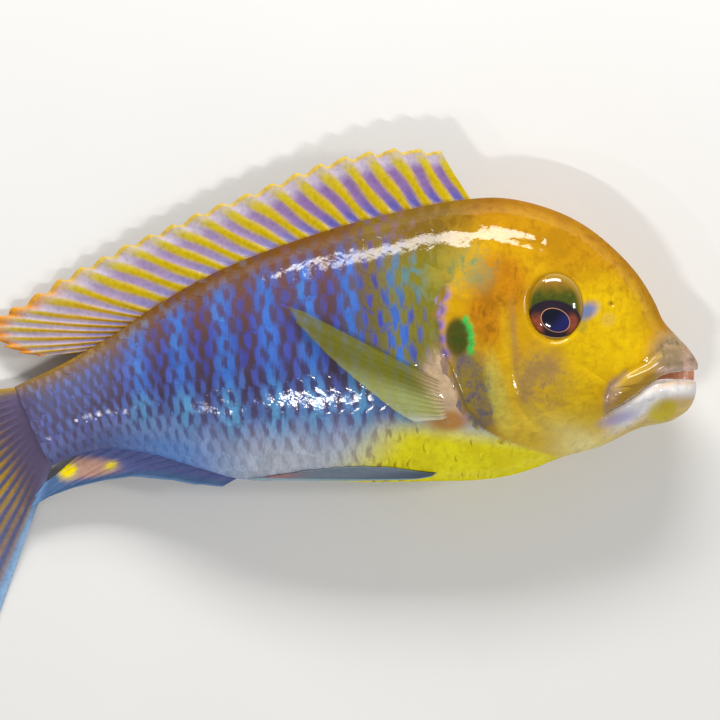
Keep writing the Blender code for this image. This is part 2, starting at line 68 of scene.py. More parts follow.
# The body's outline and width, as the solids have them.
BACK = [
    (-36.6, -0.1), (-30.1, 3.0), (-23.1, 7.0), (-16.1, 11.7), (-7.6, 16.3), (3.7, 20.7),
    (14.9, 23.9), (26.2, 26.2), (31.8, 26.5), (37.5, 25.4), (43.1, 23.0), (48.0, 19.2),
    (51.5, 15.3), (53.6, 11.8), (54.8, 9.2), (56.8, 6.9), (58.7, 4.8), (59.7, 2.8), (59.3, 1.5),
]
BELLY = [
    (-32.0, -11.5), (-28.0, -9.9), (-23.1, -9.0), (-17.5, -9.6), (-11.1, -11.4), (-4.8, -13.1),
    (3.7, -13.4), (22.0, -13.4), (29.0, -13.2), (33.2, -12.6), (36.8, -11.5), (40.3, -10.1),
    (45.9, -8.5), (51.5, -5.9), (56.5, -4.6), (58.5, -3.1), (59.4, -1.0), (59.3, 1.5),
]
MIDLINE = [
    (-34.2, -5.8), (-27.3, -2.5), (-18.9, 0.4), (-10.4, 2.4), (-0.6, 4.3), (10.7, 6.1),
    (22.0, 7.4), (31.8, 7.2), (40.3, 4.6), (47.6, -0.3),
]
HALF_WIDTH = [
    (-34.2, 2.3), (-27.0, 3.5), (-19.0, 5.0), (-10.0, 6.6), (0.0, 7.9), (11.0, 8.6),
    (22.0, 8.85), (30.0, 8.8), (36.0, 8.4), (41.0, 7.7), (47.6, 6.6), (60.0, 6.0),
]
AXIS_HEIGHT = [
    (-62.0, 0.6), (-50.0, 1.0), (-42.0, 2.0), (-34.2, 3.3), (-27.0, 4.1), (-19.0, 5.4),
    (-10.0, 6.9), (0.0, 8.0), (11.0, 8.6), (22.0, 8.9), (32.0, 9.2), (60.0, 9.3),
]
TOP_PROFILE = (2.3, 1.8)  # powers of the section above the midline, and below it
BOTTOM_PROFILE = (1.75, 1.7)
RING_SPACING = 1.5  # power that crowds the rings towards the outline
HEAD_FROM = 22.0
FACE_FROM = 40.3
COAT = 0.12  # the skin lies this far inside the solids, and the scales bring it out again

# Features of the head.
GILL_EDGE = [
    (29.3, 30.0), (28.7, 26.5), (28.2, 22.0), (27.0, 18.0), (25.0, 14.9), (23.6, 12.1),
    (23.1, 9.0), (23.3, 5.8), (24.6, 2.8), (25.7, -0.3), (26.9, -3.4), (29.2, -5.9),
    (32.3, -7.6), (36.1, -8.9), (39.7, -9.9), (42.0, -15.0),
]
CHEEK_EDGE = [
    (31.4, 17.0), (32.2, 13.5), (32.5, 7.9), (33.0, 2.3), (34.1, -2.3), (36.2, -5.4),
    (39.5, -7.2), (43.5, -7.6),
]
GAPE = [
    (46.5, -4.0), (47.0, -3.6), (48.4, -2.9), (49.7, -2.1), (51.3, -1.0), (52.1, -0.2),
    (53.0, 0.5), (54.1, 1.1), (56.6, 1.5), (59.2, 1.5), (60.3, 1.45),
]
UPPER_LIP = [(59.3, 3.2), (57.0, 3.3), (54.6, 2.9), (52.2, 1.5), (50.2, 0.0), (48.6, -1.5), (47.8, -2.6)]
LIP_GROOVE = [(55.2, 6.4), (54.0, 4.6), (52.4, 3.1), (49.4, 1.7), (47.5, 0.0), (46.8, -1.7), (46.7, -3.4)]
LOWER_LIP = [(59.0, -0.8), (57.0, -0.9), (54.4, -0.8), (52.6, -1.9), (50.6, -3.2), (48.6, -4.3)]
SNOUT_FOLDS = ([(54.1, 7.3), (56.1, 7.6), (57.7, 6.8)], [(54.8, 6.0), (56.2, 6.3), (57.6, 5.6)])
JAW_FOLD = [(46.6, -4.6), (44.6, -6.2), (42.4, -8.2), (40.6, -10.0)]
GULAR_EDGE = [(33.0, -9.3), (37.0, -10.3), (42.0, -9.7), (48.0, -8.3)]
EMERALD_STREAK = [(26.9, 9.4), (27.6, 8.0), (27.8, 6.2), (27.6, 4.8)]
RIDGES = [  # (height, width, line), and a groove's height is below 0
    (0.6, 1.15, UPPER_LIP), (0.6, 1.2, LOWER_LIP), (-0.3, 0.5, LIP_GROOVE), (-0.5, 0.5, GAPE),
    (-0.15, 0.5, JAW_FOLD), *[(-0.12, 0.3, fold) for fold in SNOUT_FOLDS],
]
GILL_COVER_RELIEF = 0.45
GILL_GROOVE = 0.25  # depth behind the cover's edge
CHEEK_FOLD = 0.12
NAPE_DIMPLES = 0.035
PECTORAL_MOUND = (23.4, -2.2)  # the fleshy base of the fin
PECTORAL_MOUND_HEIGHT = 0.5
GAPE_OPENS_AT = 54.0
GAPE_OPENING = 1.3
GAPE_SLIT = 0.06  # half the slit's height where it is shut
GAPE_FLARE = 0.45  # power of its opening towards the front
GAPE_SECTIONS = 24
GAPE_REACH = 30.0  # how far each cut runs out from the axis
MOUTH_WEB = 1.3  # half the thickness of the tongue left between the two cuts
WEB_OVERLAP = -0.3  # in front of the tongue's tip, where the two cuts cross
TONGUE_TIP = 59.1
LIP_FRONT = 58.0  # in front of this x the lips curve away from the slit
LIP_ROUNDING = 0.1
EYE = (39.4, 11.0)
EYE_RADII = (3.9, 4.7)  # of the socket's rim
EYE_RIM = 0.06
SOCKET_STEPS = [(0.5, 0.94, 1.1), (1.6, 0.8, 0.95)]  # depth, and from where to where, in radii
EYEBALL_RADII = (4.15, 4.95, 2.1)
EYE_STANDS_OUT = 0.95
EYE_MEASURED_AT = 1.25  # in radii, where the skin beside the eye gives its height
EYE_SEGMENTS = (72, 40)
NOSTRIL = (47.4, 11.5)
NOSTRIL_RIM = 0.1
NOSTRIL_DEPTH = 0.4


def srgb(red, green, blue):
    c = np.array([red, green, blue]) / 255
    return np.where(c <= 0.04045, c / 12.92, ((c + 0.055) / 1.055) ** 2.4)


def linear(colour):
    """A colour made linear, unless it is linear already."""
    return srgb(*colour) if isinstance(colour, tuple) else colour


def smooth_curve(points, count):
    """Evenly spaced points of a smooth curve through the given ones."""
    given = np.array(points, float)
    steps = np.linalg.norm(np.diff(given, axis=0), axis=1)
    along = np.concatenate([[0.0], np.cumsum(steps)])
    slopes = np.gradient(given, along, axis=0)
    at = np.linspace(0.0, along[-1], count)
    k = np.clip(np.searchsorted(along, at, side="right") - 1, 0, len(along) - 2)
    span = (along[k + 1] - along[k])[:, None]
    s = (at - along[k])[:, None] / span
    return (
        (2 * s**3 - 3 * s**2 + 1) * given[k]
        + (s**3 - 2 * s**2 + s) * span * slopes[k]
        + (3 * s**2 - 2 * s**3) * given[k + 1]
        + (s**3 - s**2) * span * slopes[k + 1]
    )


BACK_LINE = smooth_curve(BACK, 500)
BELLY_LINE = smooth_curve(BELLY, 500)
MID = smooth_curve(MIDLINE, 400)
WIDTHS = smooth_curve(HALF_WIDTH, 240)
HEIGHTS = smooth_curve(AXIS_HEIGHT, 240)
SNOUT = np.array(BACK[-1])


def value_at(curve, x):
    return np.interp(x, curve[:, 0], curve[:, 1])


def step(value, low, high):
    """0 below low, 1 above high, and smooth between them."""
    t = np.clip((value - low) / (high - low), 0, 1)
    return t * t * (3 - 2 * t)


def fall(value, low, high):
    """1 below low and 0 above high."""
    return 1 - step(value, low, high)


def bump(distance, width):
    return np.exp(-((distance / width) ** 2))


def distance_to(line, x, y):
    """Distance from each (x, y) to a line, positive to the left of its direction."""
    points = np.array(line, float)
    best = np.full(np.shape(x), np.inf)
    signed = np.zeros(np.shape(x))
    for start, run in zip(points[:-1], np.diff(points, axis=0)):
        px, py = x - start[0], y - start[1]
        s = np.clip((px * run[0] + py * run[1]) / (run @ run), 0, 1)
        dx, dy = px - s * run[0], py - s * run[1]
        length = np.hypot(dx, dy)
        side = np.where(run[0] * dy - run[1] * dx >= 0, 1.0, -1.0)
        nearer = length < best
        best = np.where(nearer, length, best)
        signed = np.where(nearer, side * length, signed)
    return signed


def orbit_at(x, y):
    """Distance from the eye's centre, 1 on the socket's rim."""
    return np.hypot((x - EYE[0]) / EYE_RADII[0], (y - EYE[1]) / EYE_RADII[1])


def nostril_at(x, y):
    return np.hypot(x - NOSTRIL[0], y - NOSTRIL[1])


# The skin's form.


def ray_to(outline, start, direction):
    """Where a ray from start first meets the outline."""
    a, b = outline[:-1] - start, outline[1:] - start
    cross_a = a[:, 0] * direction[1] - a[:, 1] * direction[0]
    cross_b = b[:, 0] * direction[1] - b[:, 1] * direction[0]
    hits = []
    for k in np.nonzero(cross_a * cross_b <= 0)[0]:
        share = cross_a[k] / (cross_a[k] - cross_b[k] + 1e-15)
        hit = a[k] + share * (b[k] - a[k])
        if hit @ direction > 0:
            hits.append((float(hit @ direction), tuple(start + hit)))
    return np.array(min(hits)[1]) if hits else outline[0]


def stations(xs):
    """Arrays of centres, top outline points and bottom outline points at each x."""
    tangent = np.gradient(MID, axis=0)
    slopes = np.arctan2(tangent[:, 1], tangent[:, 0])
    centres, tops, bottoms = [], [], []
    for x in xs:
        centre = np.array([x, value_at(MID, x)])
        slope = np.interp(min(x, FACE_FROM), MID[:, 0], slopes)
        turned = np.clip((x - FACE_FROM) / (MID[-1, 0] - FACE_FROM), 0, 1)
        ahead = math.atan2(*(SNOUT - centre)[::-1])
        centres.append(centre)
        for ends, outline, quarter in ((tops, BACK_LINE, 1), (bottoms, BELLY_LINE, -1)):
            angle = slope + quarter * math.pi / 2
            angle += (ahead - angle) * turned
            ray = np.array([math.cos(angle), math.sin(angle)])
            ends.append(SNOUT if turned > 0.999 else ray_to(outline, centre, ray))
    return np.array(centres), np.array(tops), np.array(bottoms)


def relief(x, y):
    """How far the skin stands out from the body's plain form at each (x, y)."""
    gill = distance_to(GILL_EDGE, x, y)
    high = step(y, 12.0, 16.5)
    total = GILL_COVER_RELIEF * (step(gill, -0.05, 0.35) * (1 - high) + step(gill, -6.0, 3.0) * high)
    total -= GILL_GROOVE * bump(gill + 0.35, 0.4) * (1 - high)
    for height, width, line in RIDGES:
        total += height * bump(distance_to(line, x, y), width)
    total -= CHEEK_FOLD * bump(distance_to(CHEEK_EDGE, x, y), 0.45) * step(-y, -15.0, -9.0)
    orbit = orbit_at(x, y)
    total += EYE_RIM * bump(orbit - 1.16, 0.1)
    total -= sum(depth * fall(orbit, low, high) for depth, low, high in SOCKET_STEPS)
    nose = nostril_at(x, y)
    total += NOSTRIL_RIM * bump(nose - 0.6, 0.35) - NOSTRIL_DEPTH * bump(nose, 0.26)
    mound = np.hypot((x - PECTORAL_MOUND[0]) * 0.9, (y - PECTORAL_MOUND[1]) * 0.7)
    total += PECTORAL_MOUND_HEIGHT * bump(mound, 2.0)
    dimples = np.sin(1.9 * x + 0.8 * y) * np.sin(1.1 * x - 1.7 * y)
    total += NAPE_DIMPLES * dimples * step(y, 12.0, 17.0)
    return total * step(gill, -6.0, 0.0)


def profile(r, powers):
    return (1 - r ** powers[0]) ** (1 / powers[1])


RINGS = 78  # from the midline to the back, and again to the belly


def body_grid(xs):
    """Points of the right half of the body as an array (station, ring, xyz) with z measured
    from the plane of symmetry. Rings run from the back over the flank to the belly."""
    centres, tops, bottoms = stations(xs)
    shares = 1 - (1 - np.arange(RINGS + 1) / RINGS) ** RING_SPACING
    r = np.concatenate([shares[::-1], shares[1:]])
    upper = np.arange(len(r)) <= RINGS
    outer = np.where(upper[None, :, None], tops[:, None], bottoms[:, None])
    flat = centres[:, None] + r[None, :, None] * (outer - centres[:, None])
    form = np.where(upper, profile(r, TOP_PROFILE), profile(r, BOTTOM_PROFILE))
    half = value_at(WIDTHS, centres[:, 0])[:, None] * form
    half = half + relief(flat[..., 0], flat[..., 1]) * (1 - r**8) - COAT * np.minimum(1, 4 * form)
    return np.concatenate([flat, np.maximum(half, 0)[..., None]], axis=2)


def placed(grid, side):
    """The grid on that side of the plane of symmetry, in the row frame."""
    z = value_at(HEIGHTS, grid[..., 0]) + side * grid[..., 2]
    return np.concatenate([grid[..., :2], np.maximum(z, FLOOR)[..., None]], axis=-1)


def grid_faces(rows, columns, first=0, flip=False):
    """Quads over a grid of rows by columns."""
    i, j = np.meshgrid(np.arange(rows - 1), np.arange(columns - 1), indexing="ij")
    a = first + i * columns + j
    faces = np.stack([a, a + columns, a + columns + 1, a + 1], axis=-1).reshape(-1, 4)
    return faces[:, ::-1] if flip else faces


def grid_border(rows, columns):
    """The indices round the edge of such a grid."""
    last = (rows - 1) * columns
    return [*range(0, last + 1, columns), *range(last + 1, last + columns),
            *range(last - 1, 0, -columns), *range(columns - 2, 0, -1)]


def ring_wall(upper, lower):
    """Quads between two rings of indices."""
    return [[upper[k - 1], upper[k], lower[k], lower[k - 1]] for k in range(len(upper))]


def mesh_object(name, points, faces, material):
    data = bpy.data.meshes.new(name)
    data.from_pydata((np.asarray(points) * MM).tolist(), [], [list(f) for f in faces])
    data.polygons.foreach_set("use_smooth", [True] * len(data.polygons))
    data.materials.append(material)
    data.update()
    return linked(name, data)


def linked(name, data):
    """A new object in the scene."""
    obj = bpy.data.objects.new(name, data)
    bpy.context.scene.collection.objects.link(obj)
    return obj


def set_colours(obj, layer, colours):
    """Stores one linear colour, with alpha, for each vertex."""
    attribute = obj.data.color_attributes.new(layer, "FLOAT_COLOR", "POINT")
    table = np.ones((len(obj.data.vertices), 4))
    table[:, : colours.shape[1]] = colours
    attribute.data.foreach_set("color", table.ravel())


def rebuild(obj, change):
    mesh = bmesh.new()
    mesh.from_mesh(obj.data)
    change(mesh)
    mesh.to_mesh(obj.data)
    mesh.free()


def turn_outwards(mesh):
    bmesh.ops.recalc_face_normals(mesh, faces=mesh.faces)


# The markings.

GOLD = srgb(214, 164, 4)
NAPE = srgb(190, 126, 2)
FACE = srgb(226, 186, 0)
CHEEK = srgb(220, 184, 22)
ORANGE = srgb(192, 120, 8)
JAW_GREY = srgb(228, 212, 166)
LIP_LOWER = srgb(252, 250, 244)
LEMON = srgb(250, 240, 28)
AZURE = srgb(64, 120, 206)
CYAN = srgb(98, 168, 212)
ROYAL = srgb(60, 74, 178)
VIOLET = srgb(82, 60, 138)
TEAL = srgb(98, 144, 126)
PALE = srgb(202, 208, 220)
STALK = srgb(112, 130, 192)
CAUDAL_BASE = srgb(96, 84, 112)
FLECK = srgb(112, 146, 104)
GREEN_SPOT = srgb(60, 76, 22)
EMERALD = srgb(30, 206, 84)
GILL_BLUE = srgb(92, 84, 236)
MESH_FRONT = srgb(134, 128, 22)
BASE_FLESH = srgb(206, 176, 140)

# Colours from 0 at the belly to 1 at the back.
FLANK_BRIGHT = [
    (0.0, PALE), (0.3, (88, 102, 180)), (0.62, ROYAL), (0.8, (84, 64, 118)),
    (0.93, (112, 82, 48)), (1.0, (114, 72, 6)),
]
FLANK_DIM = [
    (0.0, (120, 122, 150)), (0.2, (98, 94, 130)), (0.4, (70, 54, 56)), (0.66, (90, 62, 22)),
    (0.85, (114, 72, 8)), (1.0, (114, 72, 8)),
]
STALK_BRIGHT = [(0.0, (96, 84, 124)), (0.4, STALK), (0.8, STALK), (1.0, (170, 132, 8))]
STALK_DIM = [(0.0, (100, 78, 104)), (0.75, (98, 102, 138)), (1.0, (140, 104, 8))]

BAR_CENTRES = [-19.0, -13.0, -6.6, -0.4, 5.2, 11.2, 17.6]
BAR_WIDTH = 2.1
BAR_SLANT = 0.1  # so that the bars follow the rows of scales
BELLY_SPAN = slice(480)  # of each line's points, up to where it turns back at the snout
BACK_SPAN = slice(470)


def mix(under, over, weight):
    under = linear(under)
    return under + (linear(over) - under) * np.asarray(weight)[..., None]


def spot(x, y, centre, radii, soft=0.5, turn=0.0):
    """1 inside an ellipse and 0 outside it, over an edge that is soft times its radius."""
    c, s = math.cos(math.radians(turn)), math.sin(math.radians(turn))
    dx, dy = x - centre[0], y - centre[1]
    d = np.hypot((dx * c + dy * s) / radii[0], (dy * c - dx * s) / radii[1])
    return fall(d, 1 - soft / 2, 1 + soft / 2)


def ramp(value, stops):
    """A colour between those at the stops, each (value, colour)."""
    at, colours = zip(*stops)
    table = np.array([linear(c) for c in colours])
    return np.stack([np.interp(value, at, table[:, k]) for k in range(3)], axis=-1)


def height_share(x, y):
    """0 at the belly's outline and 1 at the back's."""
    low = value_at(BELLY_LINE[BELLY_SPAN], x)
    high = value_at(BACK_LINE[BACK_SPAN], x)
    return np.clip((y - low) / np.maximum(high - low, 1), 0, 1)


class Paint:
    """The bright colour of each place, the dim colour that mottles it, and how much it does."""

    def __init__(self, bright, dim, share):
        self.bright, self.dim, self.share = linear(bright), linear(dim), share

    def lay(self, where, bright=None, strength=1.0, dim=None, dim_strength=1.0, share=0.0):
        """Lays each colour by its strength, and mottles by share or more, as far as where is 1."""
        if bright is not None:
            self.bright = mix(self.bright, bright, strength * where)
        if dim is not None:
            self.dim = mix(self.dim, dim, dim_strength * where)
        self.share = np.maximum(self.share, share * where)


def paint_flank(x, y):
    """Behind the head: a scale's bright patch and the dim mesh between patches."""
    h = height_share(x, y)
    middle = step(h, 0.25, 0.45)
    leaning = x + BAR_SLANT * (y - value_at(MID, x))
    bars = np.clip(sum(bump(leaning - c, BAR_WIDTH) for c in BAR_CENTRES), 0, 1)
    share = 0.56 + 0.16 * step(h, 0.15, 0.45) + 0.05 * step(h, 0.6, 0.85)
    share += middle * (0.14 * step(x, -4.0, 14.0) + 0.2 * (1 - bars) - 0.16 * bars)
    p = Paint(ramp(h, FLANK_BRIGHT), ramp(h, FLANK_DIM), share)
    low = mix(PALE, (108, 152, 222), fall(x, -14.0, 0.0))
    p.lay(fall(h, 0.05, 0.3), low, 1, low * 0.8)
    lit = bars * step(h, 0.1, 0.3) * fall(h, 0.84, 0.98)
    p.lay(lit, mix(CYAN, AZURE, step(h, 0.32, 0.5)), 0.9, (68, 82, 150), 0.6)
    p.lay((1 - bars) * middle * fall(h, 0.78, 0.95), VIOLET, 0.6)
    front = step(x, 8.0, 19.0) * step(h, 0.25, 0.4)
    p.lay(front, dim=MESH_FRONT, dim_strength=0.85)
    p.lay(front * (1 - lit), ROYAL, 0.4)
    p.lay(spot(x, y, (21.5, 16.0), (5.5, 4.5), 0.9), TEAL, 0.75)
    p.lay(step(x, 19.5, 22.5) * step(h, 0.3, 0.45), MESH_FRONT * 1.1, 0.85)
    p.lay(step(x, 10.0, 20.0) * step(h, 0.76, 0.92), (142, 98, 8), 0.75, (118, 78, 6), 0.75)
    p.lay(spot(x, y, (24.0, -0.5), (3.6, 6.0), 0.7), BASE_FLESH, 1, BASE_FLESH * 0.75)
    breast = step(x - 0.9 * (y + 12.0), 5.0, 16.0) * fall(y + 0.12 * (x - 20), -7.6, -3.6)
    p.lay(breast, LEMON, 1, (196, 164, 0))
    p.lay(spot(x, y, (24.6, -4.9), (2.8, 1.4), 0.9), ORANGE * 0.9, 0.8)
    p.lay(fall(x, -28.0, -14.0), ramp(h, STALK_BRIGHT), 0.75, ramp(h, STALK_DIM), 0.85)
    end = fall(x, -36.5, -31.0) * (1 - 0.7 * step(h, 0.72, 0.95))
    p.lay(end, CAUDAL_BASE, 0.9, CAUDAL_BASE * 0.8, 0.9)
    return p


def paint_head(x, y):
    """The head's ground colours, then its mouth, its eye's surround and its gill cover."""
    p = Paint(GOLD, (170, 116, 0), 0.5)
    above = y + 0.45 * (x - 34)
    p.lay(step(above, 17.5, 24.0), NAPE, 0.95)
    p.lay(step(above, 14.5, 21.0), dim=(124, 74, 2))
    p.lay(step(y + 0.9 * (x - 44), 10.0, 15.5), (190, 138, 4), 0.8)
    p.lay(step(y - 0.3 * (x - 26), 21.5, 26.0), (132, 82, 8), 0.8)
    p.lay(spot(x, y, (46.0, 7.5), (6.0, 7.5), 0.9), FACE, 0.95)
    p.lay(spot(x, y, (38.5, -2.5), (7.0, 5.0), 0.8), CHEEK, 0.8)
    behind_eye = spot(x, y, (31.6, 14.2), (4.2, 4.6), 0.9)
    orange = np.maximum(behind_eye, spot(x, y, (30.0, 10.0), (3.0, 4.4), 0.9))
    p.lay(orange, ORANGE, 0.85, (112, 72, 10), 0.9, 0.75)
    p.lay(spot(x, y, (28.2, -0.4), (2.7, 6.8), 0.7, 18), (130, 114, 40), 0.85, (84, 80, 118), 1, 1)
    p.lay(spot(x, y, (31.6, -1.5), (1.4, 6.0), 0.8, 12), (196, 186, 84), 0.7)
    cheek = distance_to(CHEEK_EDGE, x, y)
    band = step(-y, -14.0, -8.0)
    p.lay(band * bump(cheek + 0.1, 0.7), (222, 178, 20), 0.7)
    p.lay(band * bump(cheek - 1.15, 0.5), (150, 118, 84), 0.6)
    p.lay(spot(x, y, (37.6, 0.6), (4.0, 4.8), 0.9), (196, 156, 30), 0.7, (120, 92, 96), 1, 0.8)
    p.lay(step(-y, 1.5, 5.5) * step(x, 30.0, 34.0), (230, 200, 70), 0.6, (178, 148, 72), 0.6)
    throat = step(-y - 0.35 * (x - 40), 3.0, 7.4) * step(x, 36.0, 45.0)
    p.lay(throat, (248, 234, 158), 0.96, (204, 186, 132), 1, 0.85)
    gular = fall(distance_to(GULAR_EDGE, x, y), -1.4, -0.5) * step(x, 31.0, 35.0) * (y < -7)
    p.lay(gular, (222, 176, 12))
    # painted shade: darker brown along the back's outline, where the skin turns away from the light
    p.lay(fall(np.abs(distance_to(BACK, x, y)), 0.1, 1.9), (136, 84, 4), 0.5)
    paint_mouth(p, x, y)
    paint_eye_and_gill(p, x, y)
    return p


def paint_mouth(p, x, y):
    """The snout, the lips and the lower jaw."""
    gape = distance_to(GAPE, x, y)
    lip = fall(np.abs(distance_to(UPPER_LIP, x, y)), 0.9, 1.6)
    p.lay(lip * step(x, 46.0, 48.0), (166, 132, 52), 0.85)
    p.lay(spot(x, y, (47.6, -0.8), (1.0, 2.0), 0.9, -20), (180, 156, 136), 0.7)
    p.lay(spot(x, y, (57.6, 4.4), (4.4, 3.6), 0.8), (166, 140, 106), 0.9, (96, 88, 68), 1, 0.9)
    p.lay(spot(x, y, (59.0, 3.2), (1.8, 2.2), 0.9), (190, 156, 140), 0.7)
    p.lay(step(x, 53.0, 55.0) * bump(gape - 0.95, 0.4), (236, 200, 184), 0.9)
    below = step(-gape, 0.0, 0.4) * step(x, 45.0, 50.0)
    lower_lip = below * fall(-gape, 2.4, 4.0)
    p.lay(lower_lip, LIP_LOWER, 0.9, (170, 170, 206))
    p.lay(below * (1 - lower_lip), JAW_GREY, 0.6)
    p.lay(spot(x, y, (54.7, -3.4), (2.1, 1.5), 0.7, 20), (214, 196, 24), 0.9)
    p.lay(spot(x, y, (48.4, -4.6), (2.6, 0.8), 1.4, 16), (160, 150, 208), 0.7)
    p.lay(step(x, 52.5, 54.5) * bump(gape + 0.95, 0.45), (250, 218, 176), 0.9)
    p.lay(bump(distance_to(LIP_GROOVE[3:], x, y), 0.45), (150, 128, 130), 0.6)
    beside_groove = bump(distance_to(LIP_GROOVE[1:5], x, y) - 0.5, 0.3)
    p.lay(beside_groove * step(x, 47.2, 48.2), (222, 192, 60), 0.4)


def paint_eye_and_gill(p, x, y):
    """The eye's surround, the spot and the blue edge of the gill cover, and the nostril."""
    p.lay(spot(x, y, (43.9, 10.5), (1.6, 1.0), 1.2, 30), (84, 112, 190), 0.9, (120, 124, 90), 1, 0.9)
    p.lay(spot(x, y, (43.2, 8.6), (0.9, 1.1), 0.9), (98, 96, 50), 0.4)
    p.lay(spot(x, y, (47.0, 9.3), (1.0, 0.9), 0.9), (170, 140, 120), 0.2)
    orbit = orbit_at(x, y)
    p.lay(fall(orbit, 0.94, 1.1), (166, 126, 20), 0.7)
    p.share = p.share * step(orbit, 1.0, 1.2)
    p.lay(spot(x, y, (25.8, 6.9), (1.75, 2.7), 0.5), GREEN_SPOT, 1, (104, 80, 20), 1, 0.9)
    streak = distance_to(EMERALD_STREAK, x, y) + 0.12 * np.sin(5 * y)
    p.lay(bump(streak, 0.4), EMERALD, 1, (6, 132, 70), 1, 0.9)
    edge = bump(distance_to(GILL_EDGE, x, y) - 0.3, 0.5)
    crescent = edge * spot(x, y, (23.6, 8.6), (2.4, 5.4), 0.6) * (0.65 + 0.35 * np.sin(3.1 * y))
    p.lay(crescent, GILL_BLUE, 0.9, (150, 116, 60), 1, 1)
    p.lay(bump(nostril_at(x, y), 0.3), (130, 92, 10), 0.7)


def flesh_paint(x, y):
    """The paint at each (x, y), and the share of the head in it."""
    gill = distance_to(GILL_EDGE, x, y)
    high = np.maximum(step(y, 12.5, 17.0), 0.6 * step(-y, 8.0, 10.5))
    head = step(gill, -0.15, 0.1) * (1 - high) + step(gill, -5.0, 3.0) * high
    back, front = paint_flank(x, y), paint_head(x, y)
    front.lay(spot(x, y, (27.6, 16.4), (3.6, 3.4), 0.9), dim=FLECK, share=1.0)
    share = back.share + (front.share - back.share) * head
    return Paint(mix(back.bright, front.bright, head), mix(back.dim, front.dim, head), share), head


def colour_flesh(obj, paint):
    set_colours(obj, "Bright", paint.bright)
    set_colours(obj, "Dim", np.concatenate([paint.dim, paint.share[:, None]], axis=1))


# The materials.

WATER_IOR = 1.38  # of the film of slime
EYE_IOR = 1.5
EDGE_DRYNESS = 0.85  # how much of the film is missing where the skin turns away
DRY_FACING = (0.22, 0.6)
NOISE_ROUGHNESS = 0.55


class Nodes:
    """Short ways to add nodes to a material."""

    def __init__(self, name, roughness, coat=0.0, coat_roughness=0.05, specular=0.5):
        self.material = bpy.data.materials.new(name)
        self.material.use_nodes = True
        self.tree = self.material.node_tree
        self.shader = self.tree.nodes["Principled BSDF"]
        self.feed(self.shader, Roughness=roughness, Coat_Weight=coat, Coat_Roughness=coat_roughness,
                  Coat_IOR=WATER_IOR, Specular_IOR_Level=specular)

    def new(self, kind, **settings):
        node = self.tree.nodes.new(kind)
        for name, value in settings.items():
            setattr(node, name, value)
        return node

    def feed(self, node, **values):
        """Sets a node's inputs, by name with _ for a space or by number as i0, from numbers or outputs."""
        for name, value in values.items():
            numbered = name[0] == "i" and name[1:].isdigit()
            target = node.inputs[int(name[1:]) if numbered else name.replace("_", " ")]
            if isinstance(value, bpy.types.NodeSocket):
                self.tree.links.new(value, target)
            else:
                target.default_value = value
        return node

    def attribute(self, name, output="Color"):
        return self.new("ShaderNodeAttribute", attribute_name=name).outputs[output]

    def place(self):
        return self.new("ShaderNodeTexCoord").outputs["Object"]

    def stretched(self, *scale):
        """The place, scaled on each axis, for grain that runs one way."""
        node = self.feed(self.new("ShaderNodeMapping"), Vector=self.place(), Scale=scale)
        return node.outputs["Vector"]

    def axes(self, vector):
        node = self.feed(self.new("ShaderNodeSeparateXYZ"), Vector=vector)
        return node.outputs["X"], node.outputs["Y"]

    def noise(self, scale, detail=3.0, vector=None):
        node = self.feed(self.new("ShaderNodeTexNoise"), Scale=scale, Detail=detail,
                         Roughness=NOISE_ROUGHNESS, Vector=vector or self.place())
        return node.outputs["Fac"]

    def math(self, operation, a, b=0.0):
        return self.feed(self.new("ShaderNodeMath", operation=operation), i0=a, i1=b).outputs[0]

    def times(self, a, b):
        return self.math("MULTIPLY", a, b)

    def plus(self, a, b):
        return self.math("ADD", a, b)

    def minus(self, a, b):
        return self.math("SUBTRACT", a, b)

    def between(self, value, low, high):
        """A smooth step from 0 at low to 1 at high."""
        node = self.new("ShaderNodeMapRange", interpolation_type="SMOOTHSTEP")
        return self.feed(node, Value=value, From_Min=low, From_Max=high).outputs["Result"]

    def ring(self, value, starts, full, ends, gone):
        """A smooth rise from starts to full, and a fall from ends to gone."""
        fallen = self.between(value, ends, gone)
        return self.times(self.between(value, starts, full), self.minus(1.0, fallen))

    def blend(self, factor, a, b):
        """Two colours, each an output or its 0 to 255 values."""
        a, b = [(*linear(c).tolist(), 1.0) if isinstance(c, tuple) else c for c in (a, b)]
        return self.feed(self.new("ShaderNodeMix", data_type="RGBA"), i0=factor, i6=a, i7=b).outputs[2]

    def thin_gloss(self, coat):
        """A wet coat that thins where the surface turns away."""
        away = self.between(self.new("ShaderNodeLayerWeight").outputs["Facing"], *DRY_FACING)
        self.feed(self.shader, Coat_Weight=self.minus(coat, self.times(away, coat * EDGE_DRYNESS)))

    def bump(self, height, distance, strength=1.0, wet=0.5):
        """Relief in the surface, with a share of it in the wet coat."""
        for target, share in (("Normal", 1.0), ("Coat_Normal", wet)):
            node = self.feed(self.new("ShaderNodeBump"), Strength=strength * share, Distance=distance,
                             Height=height)
            self.feed(self.shader, **{target: node.outputs["Normal"]})


